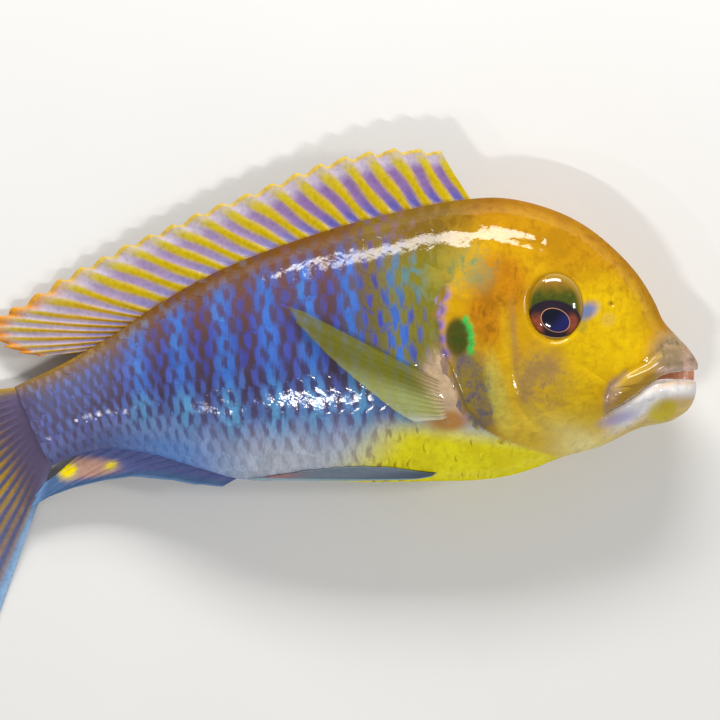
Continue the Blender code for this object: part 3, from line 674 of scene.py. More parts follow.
def skin_material():
    n = Nodes("wet_skin", 0.4, coat=1.0, coat_roughness=0.06, specular=0.0)
    n.thin_gloss(1.0)
    pattern = n.between(n.noise(700.0, 6.0), 0.42, 0.76)
    streaks = n.between(n.noise(1.0, 4.0, n.stretched(1100.0, 420.0, 800.0)), 0.46, 0.8)
    specks = n.times(n.between(n.noise(2600.0, 2.0), 0.56, 0.72), 0.6)
    clouds = n.times(n.between(n.noise(240.0, 3.0), 0.42, 0.66), 0.6)
    for more in (streaks, specks, clouds):
        pattern = n.math("MAXIMUM", pattern, more)
    share = n.times(pattern, n.attribute("Dim", "Alpha"))
    n.feed(n.shader, Base_Color=n.blend(share, n.attribute("Bright"), n.attribute("Dim")))
    cells = n.new("ShaderNodeTexVoronoi", feature="SMOOTH_F1")
    n.feed(cells, Vector=n.place(), Scale=1500.0)
    pores = n.plus(n.times(n.noise(420.0, 4.0), 1.8), n.times(cells.outputs["Distance"], 0.35))
    n.bump(pores, 0.00022, 0.6, wet=0.22)
    return n.material


def scale_material():
    """Tall bright lozenges, one to a scale, that join from row to row into wavy columns."""
    n = Nodes("wet_scales", 0.4, coat=0.9, coat_roughness=0.07, specular=0.0)
    n.thin_gloss(0.9)
    across, rows = n.axes(n.new("ShaderNodeUVMap", uv_map="Pattern").outputs["UV"])
    bend = n.times(n.minus(n.noise(420.0, 2.0), 0.5), 3.2)
    columns = n.plus(n.times(across, 2 * math.pi), bend)
    tall = n.times(n.math("COSINE", n.times(rows, math.pi)), 1.25)
    lozenges = n.times(n.math("COSINE", columns), tall)
    streaks = n.noise(1.0, 4.0, n.stretched(1700.0, 330.0, 900.0))
    wobble = n.times(n.minus(streaks, 0.5), 4.0)
    amount = n.times(n.minus(n.attribute("Dim", "Alpha"), 0.7), 2.2)
    dark = n.between(n.minus(n.plus(lozenges, wobble), amount), 0.75, -0.95)
    colour = n.blend(dark, n.attribute("Bright"), n.attribute("Dim"))
    fine = n.noise(1.0, 3.0, n.stretched(3600.0, 700.0, 2000.0))
    shade = n.times(n.between(fine, 0.4, 0.7), 0.4)
    n.feed(n.shader, Base_Color=n.blend(shade, colour, n.blend(0.5, colour, (70, 60, 90))))
    n.bump(n.noise(900.0, 4.0), 0.00012, 0.5, wet=0.65)
    return n.material


def mouth_material():
    n = Nodes("mouth_lining", 0.4, coat=0.4)
    n.feed(n.shader, Base_Color=n.blend(n.noise(700.0), (216, 134, 82), (246, 190, 144)))
    n.bump(n.noise(1500.0), 0.0001, 0.5)
    return n.material


def fin_material(name, clear):
    """Membrane and rays, painted by vertex. A clear fin lets some of the flank through."""
    n = Nodes(name, 0.4, coat=0.14, coat_roughness=0.16, specular=0.1)
    streaks = n.times(n.between(n.noise(1600.0, 3.0), 0.35, 0.75), 0.5)
    n.feed(n.shader, Base_Color=n.blend(streaks, n.attribute("Bright"), n.attribute("Dim")))
    n.bump(n.noise(2200.0, 2.0), 0.00005, 0.4)
    if clear:
        n.feed(n.shader, Alpha=n.attribute("Bright", "Alpha"))
    return n.material


# The skin and its mouth.

TRUNK_STATIONS = 105
HEAD_STATIONS = 84
FACE_STATIONS = 80
WELD = 0.002


def build_skin(materials):
    grid = body_grid(np.concatenate([
        np.linspace(MID[0, 0], HEAD_FROM, TRUNK_STATIONS, endpoint=False),
        np.linspace(HEAD_FROM, FACE_FROM, HEAD_STATIONS, endpoint=False),
        np.linspace(FACE_FROM, MID[-1, 0], FACE_STATIONS),
    ]))
    rows, columns = grid.shape[:2]
    points = np.concatenate([placed(grid, side).reshape(-1, 3) for side in (1, -1)])
    faces = [*grid_faces(rows, columns, 0, flip=True), *grid_faces(rows, columns, rows * columns)]
    skin = mesh_object("skin", points, faces, materials["skin"])

    def close(mesh):
        bmesh.ops.remove_doubles(mesh, verts=mesh.verts, dist=WELD * MM)
        bmesh.ops.holes_fill(mesh, edges=mesh.edges, sides=0)
        turn_outwards(mesh)

    rebuild(skin, close)
    tree = BVHTree.FromObject(skin, bpy.context.evaluated_depsgraph_get())
    table = np.empty(len(skin.data.vertices) * 3)
    skin.data.vertices.foreach_get("co", table)
    x, y, _ = table.reshape(-1, 3).T / MM
    colour_flesh(skin, flesh_paint(x, y)[0])
    open_mouth(skin, materials["mouth"])
    return skin, tree


def open_mouth(skin, lining):
    """Cuts the mouth as a slit from each side. The two cuts meet at the front, past a tongue."""
    line = smooth_curve(GAPE, GAPE_SECTIONS)
    opened = np.clip((line[:, 0] - GAPE_OPENS_AT) / (SNOUT[0] - GAPE_OPENS_AT), 0, 1)
    half = GAPE_SLIT + (GAPE_OPENING / 2 - GAPE_SLIT) * opened**GAPE_FLARE
    half += LIP_ROUNDING * np.clip((line[:, 0] - LIP_FRONT) / (SNOUT[0] - LIP_FRONT), 0, 2) ** 2
    tapered = np.clip((line[:, 0] - GAPE_OPENS_AT) / (TONGUE_TIP - GAPE_OPENS_AT), 0, 2)
    web = np.maximum(MOUTH_WEB * (1 - tapered**3), WEB_OVERLAP)
    axis = float(value_at(HEIGHTS, SNOUT[0]))
    for side in (1, -1):
        cut_mouth(skin, lining, line, half, axis + side * web, axis + side * GAPE_REACH)


def cut_mouth(skin, lining, line, half, inner, outer):
    """Takes a tube of four-cornered sections along the line out of the skin."""
    cutter = mesh_object("mouth_cutter", [], [], lining)

    def tube(mesh):
        rings = []
        for (x, y), h, z in zip(line, half, inner):
            corners = [(x, y + h, z), (x, y - h, z), (x, y - h, outer), (x, y + h, outer)]
            rings.append([mesh.verts.new(Vector(corner) * MM) for corner in corners])
        for first, second in zip(rings[:-1], rings[1:]):
            for k in range(4):
                mesh.faces.new([first[k], first[k - 1], second[k - 1], second[k]])
        mesh.faces.new(rings[0])
        mesh.faces.new(rings[-1][::-1])
        bmesh.ops.triangulate(mesh, faces=mesh.faces)
        turn_outwards(mesh)

    rebuild(cutter, tube)
    cut = skin.modifiers.new("mouth", "BOOLEAN")
    cut.operation = "DIFFERENCE"
    cut.solver = "EXACT"
    cut.material_mode = "TRANSFER"
    cut.object = cutter
    bpy.context.view_layer.update()
    graph = bpy.context.evaluated_depsgraph_get()
    data = bpy.data.meshes.new_from_object(skin.evaluated_get(graph), depsgraph=graph)
    skin.modifiers.clear()
    skin.data = data
    bpy.data.objects.remove(cutter)


# The scales.

SCALE_SEEDS = {1: 5, -1: 6}  # of each side's random numbers
SCALE_PITCH = 2.1  # between the scales of a row
SCALE_ROW = 2.75  # between rows
SCALE_ROWS = 10
SCALE_AT_TAIL = 0.66  # of full size
SCALE_GROWTH = 0.34  # from there to full size, between these distances along the flank
SCALE_GROWS = (2.0, 44.0)
SCALE_MARGIN = 0.5  # of their places from the back and the belly
SCALE_SPREAD = 0.05  # of their places
SCALE_TILT = 0.015
SCALE_LENGTH = 1.62  # in pitches
SCALE_FRONT = 0.9  # from its place to its root, in pitches
SCALE_HALF_HEIGHT = 0.66  # in rows
SCALE_ROUNDING = (0.42, 2.4)  # how much shorter its sides are, and the power of that curve
SCALE_GRID = (11, 7)
SCALE_ROOT_DEPTH = 0.012
SCALE_EDGE_HEIGHT = 0.062
SCALE_EDGE_DROP = 0.03  # of the rounded rear edge
SCALE_CURL = 0.02  # of its upper and lower edges
SCALE_UNDERSIDE = 0.16  # of its rim, below the skin
SCALE_CREASE = 35.0  # degrees
SCALE_MIDDLE = -0.22  # of the part of a scale that shows, from its root, in pitches
SCALE_RIM = grid_border(*SCALE_GRID)
SCALE_SHADES = 0.06  # spread of their brightness
VIOLET_TINGE = 0.16
BLUE_TINGE = 0.14
BAKE_CORNER = {1: (0.04, 0.04), -1: (0.04, 0.54)}  # of each flank in the map that is baked
BAKE_SIZE = (0.9, 0.42)
BAKE_SPREAD = 0.003  # of one scale in it
FLANK_END = 39.0
FLANK_STEP = 0.25  # of the even grid over a flank that scales are placed by
FLANK_STATION = 0.3


class Flank:
    """One side's skin as an even grid, read by (along, across) in millimetres."""

    def __init__(self, side):
        xs = np.arange(MID[0, 0], FLANK_END, FLANK_STATION)
        grid = placed(body_grid(xs), side)
        line = np.stack([xs, value_at(MID, xs)], 1)
        self.along = np.concatenate([[0], np.cumsum(np.linalg.norm(np.diff(line, axis=0), axis=1))])
        arc = np.cumsum(np.linalg.norm(np.diff(grid, axis=1), axis=2), axis=1)
        arc = np.concatenate([np.zeros((len(xs), 1)), arc], 1)
        arc = arc[:, RINGS][:, None] - arc
        self.reach = arc[:, 0], arc[:, -1]
        self.low, self.high = arc.min(), arc.max()
        self.even_t = np.arange(self.low, self.high + FLANK_STEP, FLANK_STEP)
        self.even_s = np.arange(0, self.along[-1], FLANK_STEP)
        rows = np.stack([
            np.stack([np.interp(self.even_t, arc[k][::-1], grid[k, ::-1, c]) for c in range(3)], 1)
            for k in range(len(xs))
        ])
        flat = rows.reshape(len(xs), -1).T
        even = np.stack([np.interp(self.even_s, self.along, column) for column in flat], 1)
        self.points = even.reshape(len(self.even_s), len(self.even_t), 3)
        normal = np.cross(np.gradient(self.points, axis=0), np.gradient(self.points, axis=1))
        length = np.linalg.norm(normal, axis=2)[..., None]
        self.normals = side * normal / np.maximum(length, 1e-9)

    def read(self, table, s, t):
        i = np.clip(s / FLANK_STEP, 0, len(self.even_s) - 1.001)
        j = np.clip((t - self.low) / FLANK_STEP, 0, len(self.even_t) - 1.001)
        i0, j0 = i.astype(int), j.astype(int)
        u, v = (i - i0)[..., None], (j - j0)[..., None]
        return ((1 - u) * (1 - v) * table[i0, j0] + u * (1 - v) * table[i0 + 1, j0]
                + (1 - u) * v * table[i0, j0 + 1] + u * v * table[i0 + 1, j0 + 1])


def scale_roots(flank, rng):
    """(along, across, size, column, row) of each scale of one side, smaller towards the tail."""
    found = []
    s, column = 0.5, 0
    while s < flank.along[-1] - 1:
        size = SCALE_AT_TAIL + SCALE_GROWTH * float(step(s, *SCALE_GROWS))
        top, bottom = [np.interp(s, flank.along, reach) for reach in flank.reach]
        for row in range(-SCALE_ROWS, SCALE_ROWS + 1):
            t = row * SCALE_ROW * size
            if (row + column) % 2 == 0 and bottom + SCALE_MARGIN < t < top - SCALE_MARGIN:
                off = [rng.normal(0, SCALE_SPREAD) for _ in range(2)]
                found.append((s + off[0], t + off[1], size, column, row))
        s += SCALE_PITCH * size / 2
        column += 1
    return np.array(found)


def scales_kept(flank, rng):
    """The roots behind the gill cover, and how deep each scale is sunk into the skin."""
    roots = scale_roots(flank, rng)
    x, y, _ = flank.read(flank.points, roots[:, 0], roots[:, 1]).T
    gill = distance_to(GILL_EDGE, x, y)
    keep = (gill < -0.5) | ((y > 15.5) & (x < 34.0) & (gill < 5.0))
    sunk = 0.12 * step(gill, -5.5, -0.5) * step(y, 11.0, 15.0)
    sunk += 0.05 * spot(x, y, (27.0, -9.5), (12.0, 5.0), 0.5)
    sunk += 0.08 * spot(x, y, (24.2, -0.5), (3.2, 5.5), 0.5)
    return roots[keep], sunk[keep]


def scale_form():
    """For the points of a scale: a from -1 to 1 across it, b from root to edge, and where it is
    from the scale's place, (along, across) in pitches and rows."""
    a, b = np.meshgrid(*[np.linspace(low, 1, n) for low, n in zip((-1, 0), SCALE_GRID)], indexing="ij")
    shorter, power = SCALE_ROUNDING
    along = SCALE_FRONT - SCALE_LENGTH * b * (1 - shorter * np.abs(a) ** power)
    across = SCALE_HALF_HEIGHT * a * (0.8 + 0.2 * np.sin(math.pi * b * 0.75))
    return a, b, along, across


def scale_faces(side):
    """The faces of one scale: its top, its rim and its underside."""
    first = math.prod(SCALE_GRID)
    low = list(range(first, first + len(SCALE_RIM)))
    under = [*ring_wall(SCALE_RIM, low), low]
    return [*grid_faces(*SCALE_GRID, 0, flip=side > 0), *[f[::side] for f in under]]


def with_rim(*values):
    """Values over a scale's points, one row for each, and again for its lower rim."""
    flat = np.stack(values, -1).reshape(-1, len(values))
    return np.concatenate([flat, flat[SCALE_RIM]])


def set_uv(obj, layer, table):
    """A UV map from one (u, v) for each vertex."""
    loops = np.empty(len(obj.data.loops), int)
    obj.data.loops.foreach_get("vertex_index", loops)
    obj.data.uv_layers.new(name=layer).data.foreach_set("uv", table[loops].ravel())


def build_scales(name, side, material):
    """Thin closed plates that overlap towards the tail, all in one mesh."""
    rng = np.random.default_rng(SCALE_SEEDS[side])
    flank = Flank(side)
    roots, sunk = scales_kept(flank, rng)
    count = len(roots)
    a, b, along, across = scale_form()
    middle_s, middle_t, size = roots[:, :3].T[..., None, None]
    s, t = middle_s + size * SCALE_PITCH * along, middle_t + size * SCALE_ROW * across
    lift = (SCALE_ROOT_DEPTH + SCALE_EDGE_HEIGHT) * b - SCALE_ROOT_DEPTH - SCALE_CURL * a**2
    lift -= SCALE_EDGE_DROP * step(b, 0.8, 1.0)
    tilt = rng.normal(0, SCALE_TILT, (2, count))[..., None, None]
    h = lift * (0.4 + 0.6 * size) + tilt[0] * a + tilt[1] * b - sunk[:, None, None]
    base, normal = [flank.read(t3, s, t).reshape(count, -1, 3) for t3 in (flank.points, flank.normals)]
    top = base + normal * h.reshape(count, -1, 1)
    under = base[:, SCALE_RIM] - normal[:, SCALE_RIM] * SCALE_UNDERSIDE
    points = np.concatenate([top, under], axis=1)
    points[..., 2] = np.maximum(points[..., 2], FLOOR)
    each = points.shape[1]
    faces = [[index + each * n for index in face] for n in range(count) for face in scale_faces(side)]
    obj = mesh_object(name, points.reshape(-1, 3), faces, material)
    obj.data.set_sharp_from_angle(angle=math.radians(SCALE_CREASE))
    colour_flesh(obj, scale_paint(points, rng))
    offsets = with_rim(along - SCALE_MIDDLE, across)
    lattice = roots[:, None, 3:] * (0.5, 1.0) + offsets
    shares = roots[:, 0] / flank.along[-1], (roots[:, 1] - flank.low) / (flank.high - flank.low)
    at = np.stack(shares, 1) * BAKE_SIZE + BAKE_CORNER[side]
    bake = at[:, None] + (with_rim((a + 1) / 2, b) - 0.5) * BAKE_SPREAD
    set_uv(obj, "OFBake", bake.reshape(-1, 2))
    set_uv(obj, "Pattern", lattice.reshape(-1, 2))
    return obj


def scale_paint(points, rng):
    """The paint of all the scales, each a little lighter, darker, bluer or more violet."""
    count, each = points.shape[:2]
    x, y, _ = points.reshape(-1, 3).T
    paint, head = flesh_paint(x, y)
    calm = (1 - head) * (1 - spot(x, y, (24.0, -10.0), (15.0, 6.0), 0.5))
    shade, warm = [np.repeat(rng.normal(0, spread, count), each) for spread in (SCALE_SHADES, 1.0)]
    bright = np.clip(paint.bright * (1 + calm * shade)[:, None], 0, 1)
    bright = mix(bright, VIOLET, VIOLET_TINGE * np.clip(warm - 0.3, 0, 1) * calm)
    paint.bright = mix(bright, CYAN, BLUE_TINGE * np.clip(-warm - 0.8, 0, 1) * calm)
    return paint


# The fins.

RAY_STEPS = 8  # columns of points to a ray
RAY_WIDTH = 0.16  # of the space between rays
FIN_FORM = {  # rows of points, bow of the rays, depth of the notches between them
    "dorsal": (30, 0.06, 0.1), "anal": (20, -0.04, 0.04), "caudal": (30, 0.0, 0.02),
    "pectoral": (30, 0.0, 0.02), "pelvic": (26, 0.0, 0.03),
}
FIN_THICKNESS = {  # of membrane, ray and edge, then what the root adds and up to which v
    "dorsal": (0.3, 0.85, 0.12, 0.9, 0.12), "anal": (0.28, 0.7, 0.12, 0.6, 0.14),
    "caudal": (0.3, 0.7, 0.14, 0.0, 1.0), "pectoral": (0.16, 0.34, 0.08, 0.7, 0.12),
    "pelvic": (0.2, 0.45, 0.1, 0.0, 1.0),
}
FIN_SET = {"dorsal": (0.9, 0.9), "anal": (0.8, 0.5)}  # depth of the roots in the body, droop of the tips
NOTCH_AT = 0.85  # the deepest place between two rays
DORSAL_SPINES = 17
DORSAL_ROOTS_X = (28.2, -17.3, -25.4)
DORSAL_TIPS = [
    (23.5, 33.1), (20.6, 33.4), (17.0, 33.5), (13.5, 33.1), (10.0, 32.4), (6.5, 31.4),
    (3.2, 30.1), (-0.3, 28.6), (-3.8, 27.2), (-7.5, 25.8), (-11.0, 24.4), (-14.4, 22.8),
    (-17.6, 21.4), (-21.0, 20.0), (-24.2, 18.3), (-27.3, 16.8), (-30.4, 15.1), (-33.5, 13.1),
    (-36.9, 11.1), (-39.4, 9.9), (-41.1, 8.6), (-40.3, 7.0), (-38.3, 5.6), (-36.1, 4.7),
    (-33.6, 4.2), (-30.8, 4.6),
]
DORSAL_SPOTS = [(-36.0, 4.6), (-33.2, 3.6)]
DORSAL_WAVE = 0.12  # of the membrane, to each side of the fin's plane
ANAL_ROOTS_X = (-4.1, -26.0)
ANAL_TIPS = [
    (-7.3, -14.2), (-11.1, -13.9), (-15.4, -13.2), (-20.3, -12.8), (-24.8, -13.5),
    (-29.0, -14.6), (-32.3, -15.9), (-34.4, -17.2), (-33.9, -15.7), (-32.7, -13.9),
    (-30.6, -12.4),
]
EGG_SPOTS = [((-29.2, -11.9), 1.15), ((-23.0, -11.2), 0.62)]  # centre, radius
CAUDAL_RAYS = 17
CAUDAL_UPPER_TIP = (-59.7, -3.0)
CAUDAL_LOWER_TIP = (-39.4, -33.7)
CAUDAL_HOLLOW = 1.2  # of its edge
CAUDAL_REST = 0.25  # the height of its outer part
CAUDAL_DROPS_BY = 0.8  # the v where it has come down to that height
CAUDAL_IN_STALK = 1.2  # how far its root reaches into the stalk
CAUDAL_ROOT_SPAN = (0.04, 0.92)  # where the root starts on the stalk's end, and its share of it
STALK_GAP = 0.45  # how much thinner the root is than the stalk
STALK_FADES_BY = 0.36  # the v where the stalk's thickness has gone
PECTORAL_ROOT = [(24.4, 0.2), (24.6, -4.4)]
PECTORAL_TIPS = [
    (4.6, 10.2), (2.2, 11.0), (3.2, 8.9), (5.0, 7.0), (7.0, 5.0), (9.0, 3.2), (11.0, 1.5),
    (13.0, -0.1), (14.9, -1.6), (16.6, -2.9), (18.2, -3.9), (19.8, -4.7),
]
PECTORAL_TURNS = {1: 0.0, -1: 42.0}  # the left one lies at its own angle
PECTORAL_SUNK = 0.65  # of its root in the flank
PECTORAL_EMERGES = 1.05  # how far it comes out from there
PECTORAL_RISE = {1: 0.65, -1: 0.0}  # of its tip away from the flank
PELVIC_ROOT = [(23.4, -13.1), (23.2, -12.6)]
PELVIC_EDGE_Y = -13.4  # of each fin's lowest edge
PELVIC_APART = 1.6  # of that edge from the plane of symmetry
PELVIC_SLOPE = 1.1
PELVIC_SUNK = 0.3  # of its root in the belly
PELVIC_EMERGES = 0.6  # how far it comes out from there
PELVIC_TIPS = [(-3.8, -13.4), (-1.0, -13.0), (3.6, -12.2), (8.0, -11.7), (12.0, -11.5), (16.0, -11.6)]
UP = np.array([0.0, 0.0, 1.0])


def off_outline(outline, x, distance):
    """The outline's point at x, moved out from the body by distance."""
    xs, ys = outline[np.argsort(outline[:, 0])].T
    slope = np.interp(x + 0.5, xs, ys) - np.interp(x - 0.5, xs, ys)
    away = np.array([-slope, 1.0]) / math.hypot(slope, 1.0)
    if outline is BELLY_LINE:
        away = -away
    return np.array([x, np.interp(x, xs, ys)]) + distance * away


def in_axis_plane(point, droop=0.0):
    return np.array([*point, float(value_at(HEIGHTS, point[0])) - droop])


def fin_grid(fin, roots, tips):
    """Mid-surface points (column, row, xyz), each column's place and each row's v."""
    rows, bow, notch = FIN_FORM[fin]
    roots, tips = np.array(roots), np.array(tips)
    last = len(roots) - 1
    places = np.arange(last * RAY_STEPS + 1)[:, None] / RAY_STEPS
    v = np.linspace(0, 1, rows)[None]
    ray = places[:, 0].astype(int)
    after = np.minimum(ray + 1, last)
    part = places - ray[:, None]
    root = roots[ray] * (1 - part) + roots[after] * part
    run = tips[ray] * (1 - part) + tips[after] * part - root
    sideways = np.stack([-run[:, 1], run[:, 0], 0 * run[:, 0]], 1)[:, None]
    reach = 1 - notch * np.where(part < NOTCH_AT, part**1.4, (1 - part) / 0.15 * 0.8)
    along = (v * reach)[..., None]
    return root[:, None] + run[:, None] * along + bow * sideways * along * (1 - along), places, v


def outline_fin(fin, outline, xs, tips):
    """The grid of a fin whose rays stand on the body's outline at xs."""
    sunk, droop = FIN_SET[fin]
    roots = [in_axis_plane(off_outline(outline, x, -sunk)) for x in xs]
    return fin_grid(fin, roots, [in_axis_plane(p, droop) for p in tips])


def fin_object(name, grid, thickness, colours, material, normals=UP):
    """A closed sheet round the mid-surface. colours is (bright, dim) for each point."""
    count, rows = grid.shape[:2]
    shift = normals * thickness[..., None] / 2
    points = np.concatenate([(grid + shift).reshape(-1, 3), (grid - shift).reshape(-1, 3)])
    points[:, 2] = np.maximum(points[:, 2], FLOOR)
    half = count * rows
    border = grid_border(count, rows)
    faces = [*grid_faces(count, rows), *grid_faces(count, rows, half, flip=True),
             *ring_wall(border, [k + half for k in border])]
    obj = mesh_object(name, points, faces, material)
    rebuild(obj, turn_outwards)
    for layer, table in zip(("Bright", "Dim"), colours):
        set_colours(obj, layer, np.tile(table.reshape(half, -1), (2, 1)))
    return obj


def off_ray(places):
    return np.abs(places - np.round(places))


def fin_thickness(fin, places, v):
    """Thickness of a fin with a round ray at each whole place."""
    membrane, ray, edge, root, reach = FIN_THICKNESS[fin]
    full = membrane + (ray - membrane) * bump(off_ray(places), RAY_WIDTH) * (1 - 0.65 * v)
    return np.where(v == 1, edge, full * (1 - 0.35 * v)) + root * bump(v, reach)


YELLOW = srgb(200, 178, 8)
OCHRE = srgb(158, 112, 20)
FIN_LAVENDER = srgb(138, 110, 172)
FIN_BLUE = srgb(88, 92, 180)
FIN_WHITE = srgb(206, 200, 220)
FIN_ORANGE = srgb(232, 150, 16)
STEEL = srgb(78, 108, 150)


def layered(colour, *coats):
    """The colour under each (colour, weight) in turn."""
    for over, weight in coats:
        colour = mix(colour, over, weight)
    return colour


def dorsal_colours(grid, places, v):
    x, y = grid[..., 0], grid[..., 1]
    soft = step(places, 14.5, 19.0)
    whole = np.floor(places)
    off = places - whole + 0.05 * np.sin(8 * v + 2.1 * whole) - 0.04 * step(v, 0.5, 1.0)
    stripe = np.maximum(*[fall(np.abs(off - at), 0.15, 0.34) for at in (0.12, 1.12)])
    between = layered(
        FIN_BLUE, (FIN_LAVENDER, step(v, 0.1, 0.5)), (FIN_WHITE, 0.8 * step(v, 0.68, 0.88)),
        (FIN_WHITE * 0.9, 0.6 * soft * step(v, 0.2, 0.5)), (FIN_WHITE, 0.3 * step(places, 6.0, 11.0)),
    )
    stripes = layered(YELLOW, (OCHRE * 1.4, 0.6 * soft), ((196, 196, 80), 0.4 * step(v, 0.5, 0.9)))
    colour = layered(
        between, (stripes, stripe * (1 - 0.5 * step(v, 0.78, 0.93))),
        (OCHRE * 0.8, 0.95 * fall(v, 0.04, 0.17)), ((214, 186, 20), 0.9 * step(v, 0.93, 0.975)),
        (FIN_ORANGE, 0.8 * soft * step(v, 0.84, 0.94)),
        *[(FIN_ORANGE, spot(x, y, at, (1.5, 0.9), 0.8)) for at in DORSAL_SPOTS],
    )
    return colour * srgb(252, 244, 236), colour * srgb(206, 190, 190)


def anal_colours(grid, v):
    x, y = grid[..., 0], grid[..., 1]
    colour = layered(
        (92, 102, 156), ((190, 146, 128), spot(x, y, (-26.6, -11.6), (4.4, 1.5), 0.8)),
        (STEEL, step(v, 0.5, 0.78)), ((120, 160, 210), 0.7 * step(v, 0.86, 0.97)),
    )
    for centre, radius in EGG_SPOTS:
        colour = mix(colour, (190, 170, 120), spot(x, y, centre, (radius * 1.35,) * 2, 0.5))
        colour = mix(colour, (255, 226, 0), spot(x, y, centre, (radius, radius * 0.85), 0.3))
    return colour, colour * 0.7


def caudal_colours(places, v):
    share = places / places[-1]
    ray = fall(off_ray(places), 0.14, 0.36) * step(v, 0.1, 0.4) * (1 - 0.6 * step(share, 0.6, 0.95))
    colour = layered(
        (82, 76, 104), ((98, 106, 150), step(v, 0.1, 0.9)), ((180, 140, 10), ray),
        ((184, 146, 16), 0.8 * fall(share, 0.0, 0.16)),
        ((150, 190, 228), 0.8 * step(share, 0.92, 0.985)), ((200, 172, 60), 0.75 * step(v, 0.93, 0.98)),
    )
    root = 0.92 * fall(v, 0.08, 0.4) * step(share, 0.0, 0.14)
    return mix(colour, CAUDAL_BASE * 1.3, root), mix(colour * 0.6, CAUDAL_BASE * 1.05, root)


def pectoral_colours(places, v):
    share = places / places[-1]
    ray = fall(off_ray(places), 0.1, 0.25)
    root = fall(v, 0.04, 0.3)
    colour = layered((140, 138, 30), ((204, 208, 120), step(share, 0.3, 0.7)),
                     ((228, 226, 200), 0.8 * step(share, 0.84, 0.97)))
    colour = layered(colour, (colour * 0.72, 0.7 * ray), ((110, 132, 60), 0.6 * fall(share, 0.0, 0.05)),
                     (BASE_FLESH, 0.9 * root))
    alpha = 0.44 - 0.1 * step(v, 0.5, 1.0) + 0.14 * ray + 0.24 * root
    return np.concatenate([colour, np.clip(alpha, 0, 1)[..., None]], -1), colour * 0.85


def pelvic_colours(grid, places, v):
    lead = fall(places, 0.35, 0.95)
    colour = layered(
        (96, 108, 124), ((122, 136, 150), step(v, 0.2, 0.7)),
        ((184, 122, 118), 0.75 * bump(grid[..., 0], 3.2) * (1 - lead)), ((160, 194, 206), 0.85 * lead),
    )
    return colour, colour * 0.8


def build_dorsal(material):
    first, last, end = DORSAL_ROOTS_X
    soft = len(DORSAL_TIPS) - DORSAL_SPINES
    xs = [*np.linspace(first, last, DORSAL_SPINES), *np.linspace(last, end, soft + 1)[1:]]
    grid, places, v = outline_fin("dorsal", BACK_LINE, xs, DORSAL_TIPS)
    grid[..., 2] += DORSAL_WAVE * np.sin(places * 2 * math.pi) * v
    thickness = fin_thickness("dorsal", places, v)
    return fin_object("dorsal_fin_skin", grid, thickness, dorsal_colours(grid, places, v), material)


def build_anal(material):
    xs = np.linspace(*ANAL_ROOTS_X, len(ANAL_TIPS))
    grid, places, v = outline_fin("anal", BELLY_LINE, xs, ANAL_TIPS)
    thickness = fin_thickness("anal", places, v)
    return fin_object("anal_fin_skin", grid, thickness, anal_colours(grid, v), material)


def build_caudal(material):
    """The tail fin, as thick as the stalk at its root and lying on the floor at its edge."""
    tangent = MID[0] - MID[1]
    tangent /= np.linalg.norm(tangent)
    top, bottom = np.array(BACK[0]), np.array(BELLY[0])
    upper, lower = np.array(CAUDAL_UPPER_TIP), np.array(CAUDAL_LOWER_TIP)
    middle = (top + bottom) / 2
    roots, tips = [], []
    start, span = CAUDAL_ROOT_SPAN
    for u in np.linspace(0, 1, CAUDAL_RAYS):
        chord = upper + (lower - upper) * u
        inward = (middle - chord) / np.linalg.norm(middle - chord)
        root = top + (bottom - top) * (start + span * u) - tangent * CAUDAL_IN_STALK
        roots.append(in_axis_plane(root))
        tips.append([*(chord - inward * CAUDAL_HOLLOW * math.sin(math.pi * u)), FLOOR])
    grid, places, v = fin_grid("caudal", roots, tips)
    above = grid[:, :1, 2] - CAUDAL_REST
    grid[..., 2] = CAUDAL_REST + above * np.maximum(0, 1 - v / CAUDAL_DROPS_BY) ** 1.6
    stalk = 2 * float(value_at(WIDTHS, MID[0, 0])) - STALK_GAP
    stalk = stalk * np.maximum(0, 1 - np.abs(2 * places / places[-1] - 1) ** 2.2) ** 0.6
    fleshy = fall(v, 0.06, 0.26)
    thickness = fin_thickness("caudal", places, v) * (1 - fleshy) + 0.28 * fleshy
    thickness += stalk * np.maximum(0, 1 - v / STALK_FADES_BY) ** 1.6
    return fin_object("caudal_fin_skin", grid, thickness, caudal_colours(places, v), material)


def on_skin(tree, grid, lift):
    """The grid moved on to the skin, lift above it, with the skin's normals there."""
    flat = grid.reshape(-1, 3)
    points, normals = np.empty_like(flat), np.empty_like(flat)
    for k, up in enumerate(np.broadcast_to(lift, grid.shape[:2]).ravel()):
        found, normal, *_ = tree.find_nearest(Vector(flat[k]) * MM)
        normals[k] = normal
        points[k] = np.array(found) / MM + normals[k] * up
    return points.reshape(grid.shape), normals.reshape(grid.shape)


def skin_height(tree, x, y, side):
    start = Vector((x * MM, y * MM, side * 0.1))
    return tree.ray_cast(start, Vector((0, 0, -side)))[0].z / MM


def build_pectoral(name, side, tree, material):
    pivot = np.array(PECTORAL_ROOT).mean(0)
    turn = math.radians(PECTORAL_TURNS[side])
    spin = np.array([[math.cos(turn), math.sin(turn)], [-math.sin(turn), math.cos(turn)]])
    roots = np.linspace(*np.array(PECTORAL_ROOT), len(PECTORAL_TIPS))
    tips = pivot + (np.array(PECTORAL_TIPS) - pivot) @ spin
    flat = [np.pad(ends, ((0, 0), (0, 1))) for ends in (roots, tips)]
    grid, places, v = fin_grid("pectoral", *flat)
    for point in grid.reshape(-1, 3):
        point[2] = skin_height(tree, point[0], point[1], side)
    thickness = fin_thickness("pectoral", places, v)
    lift = -PECTORAL_SUNK + PECTORAL_EMERGES * step(v, 0.0, 0.2) + PECTORAL_RISE[side] * v
    grid, normals = on_skin(tree, grid, lift)
    return fin_object(name, grid, thickness, pectoral_colours(places, v), material, normals)


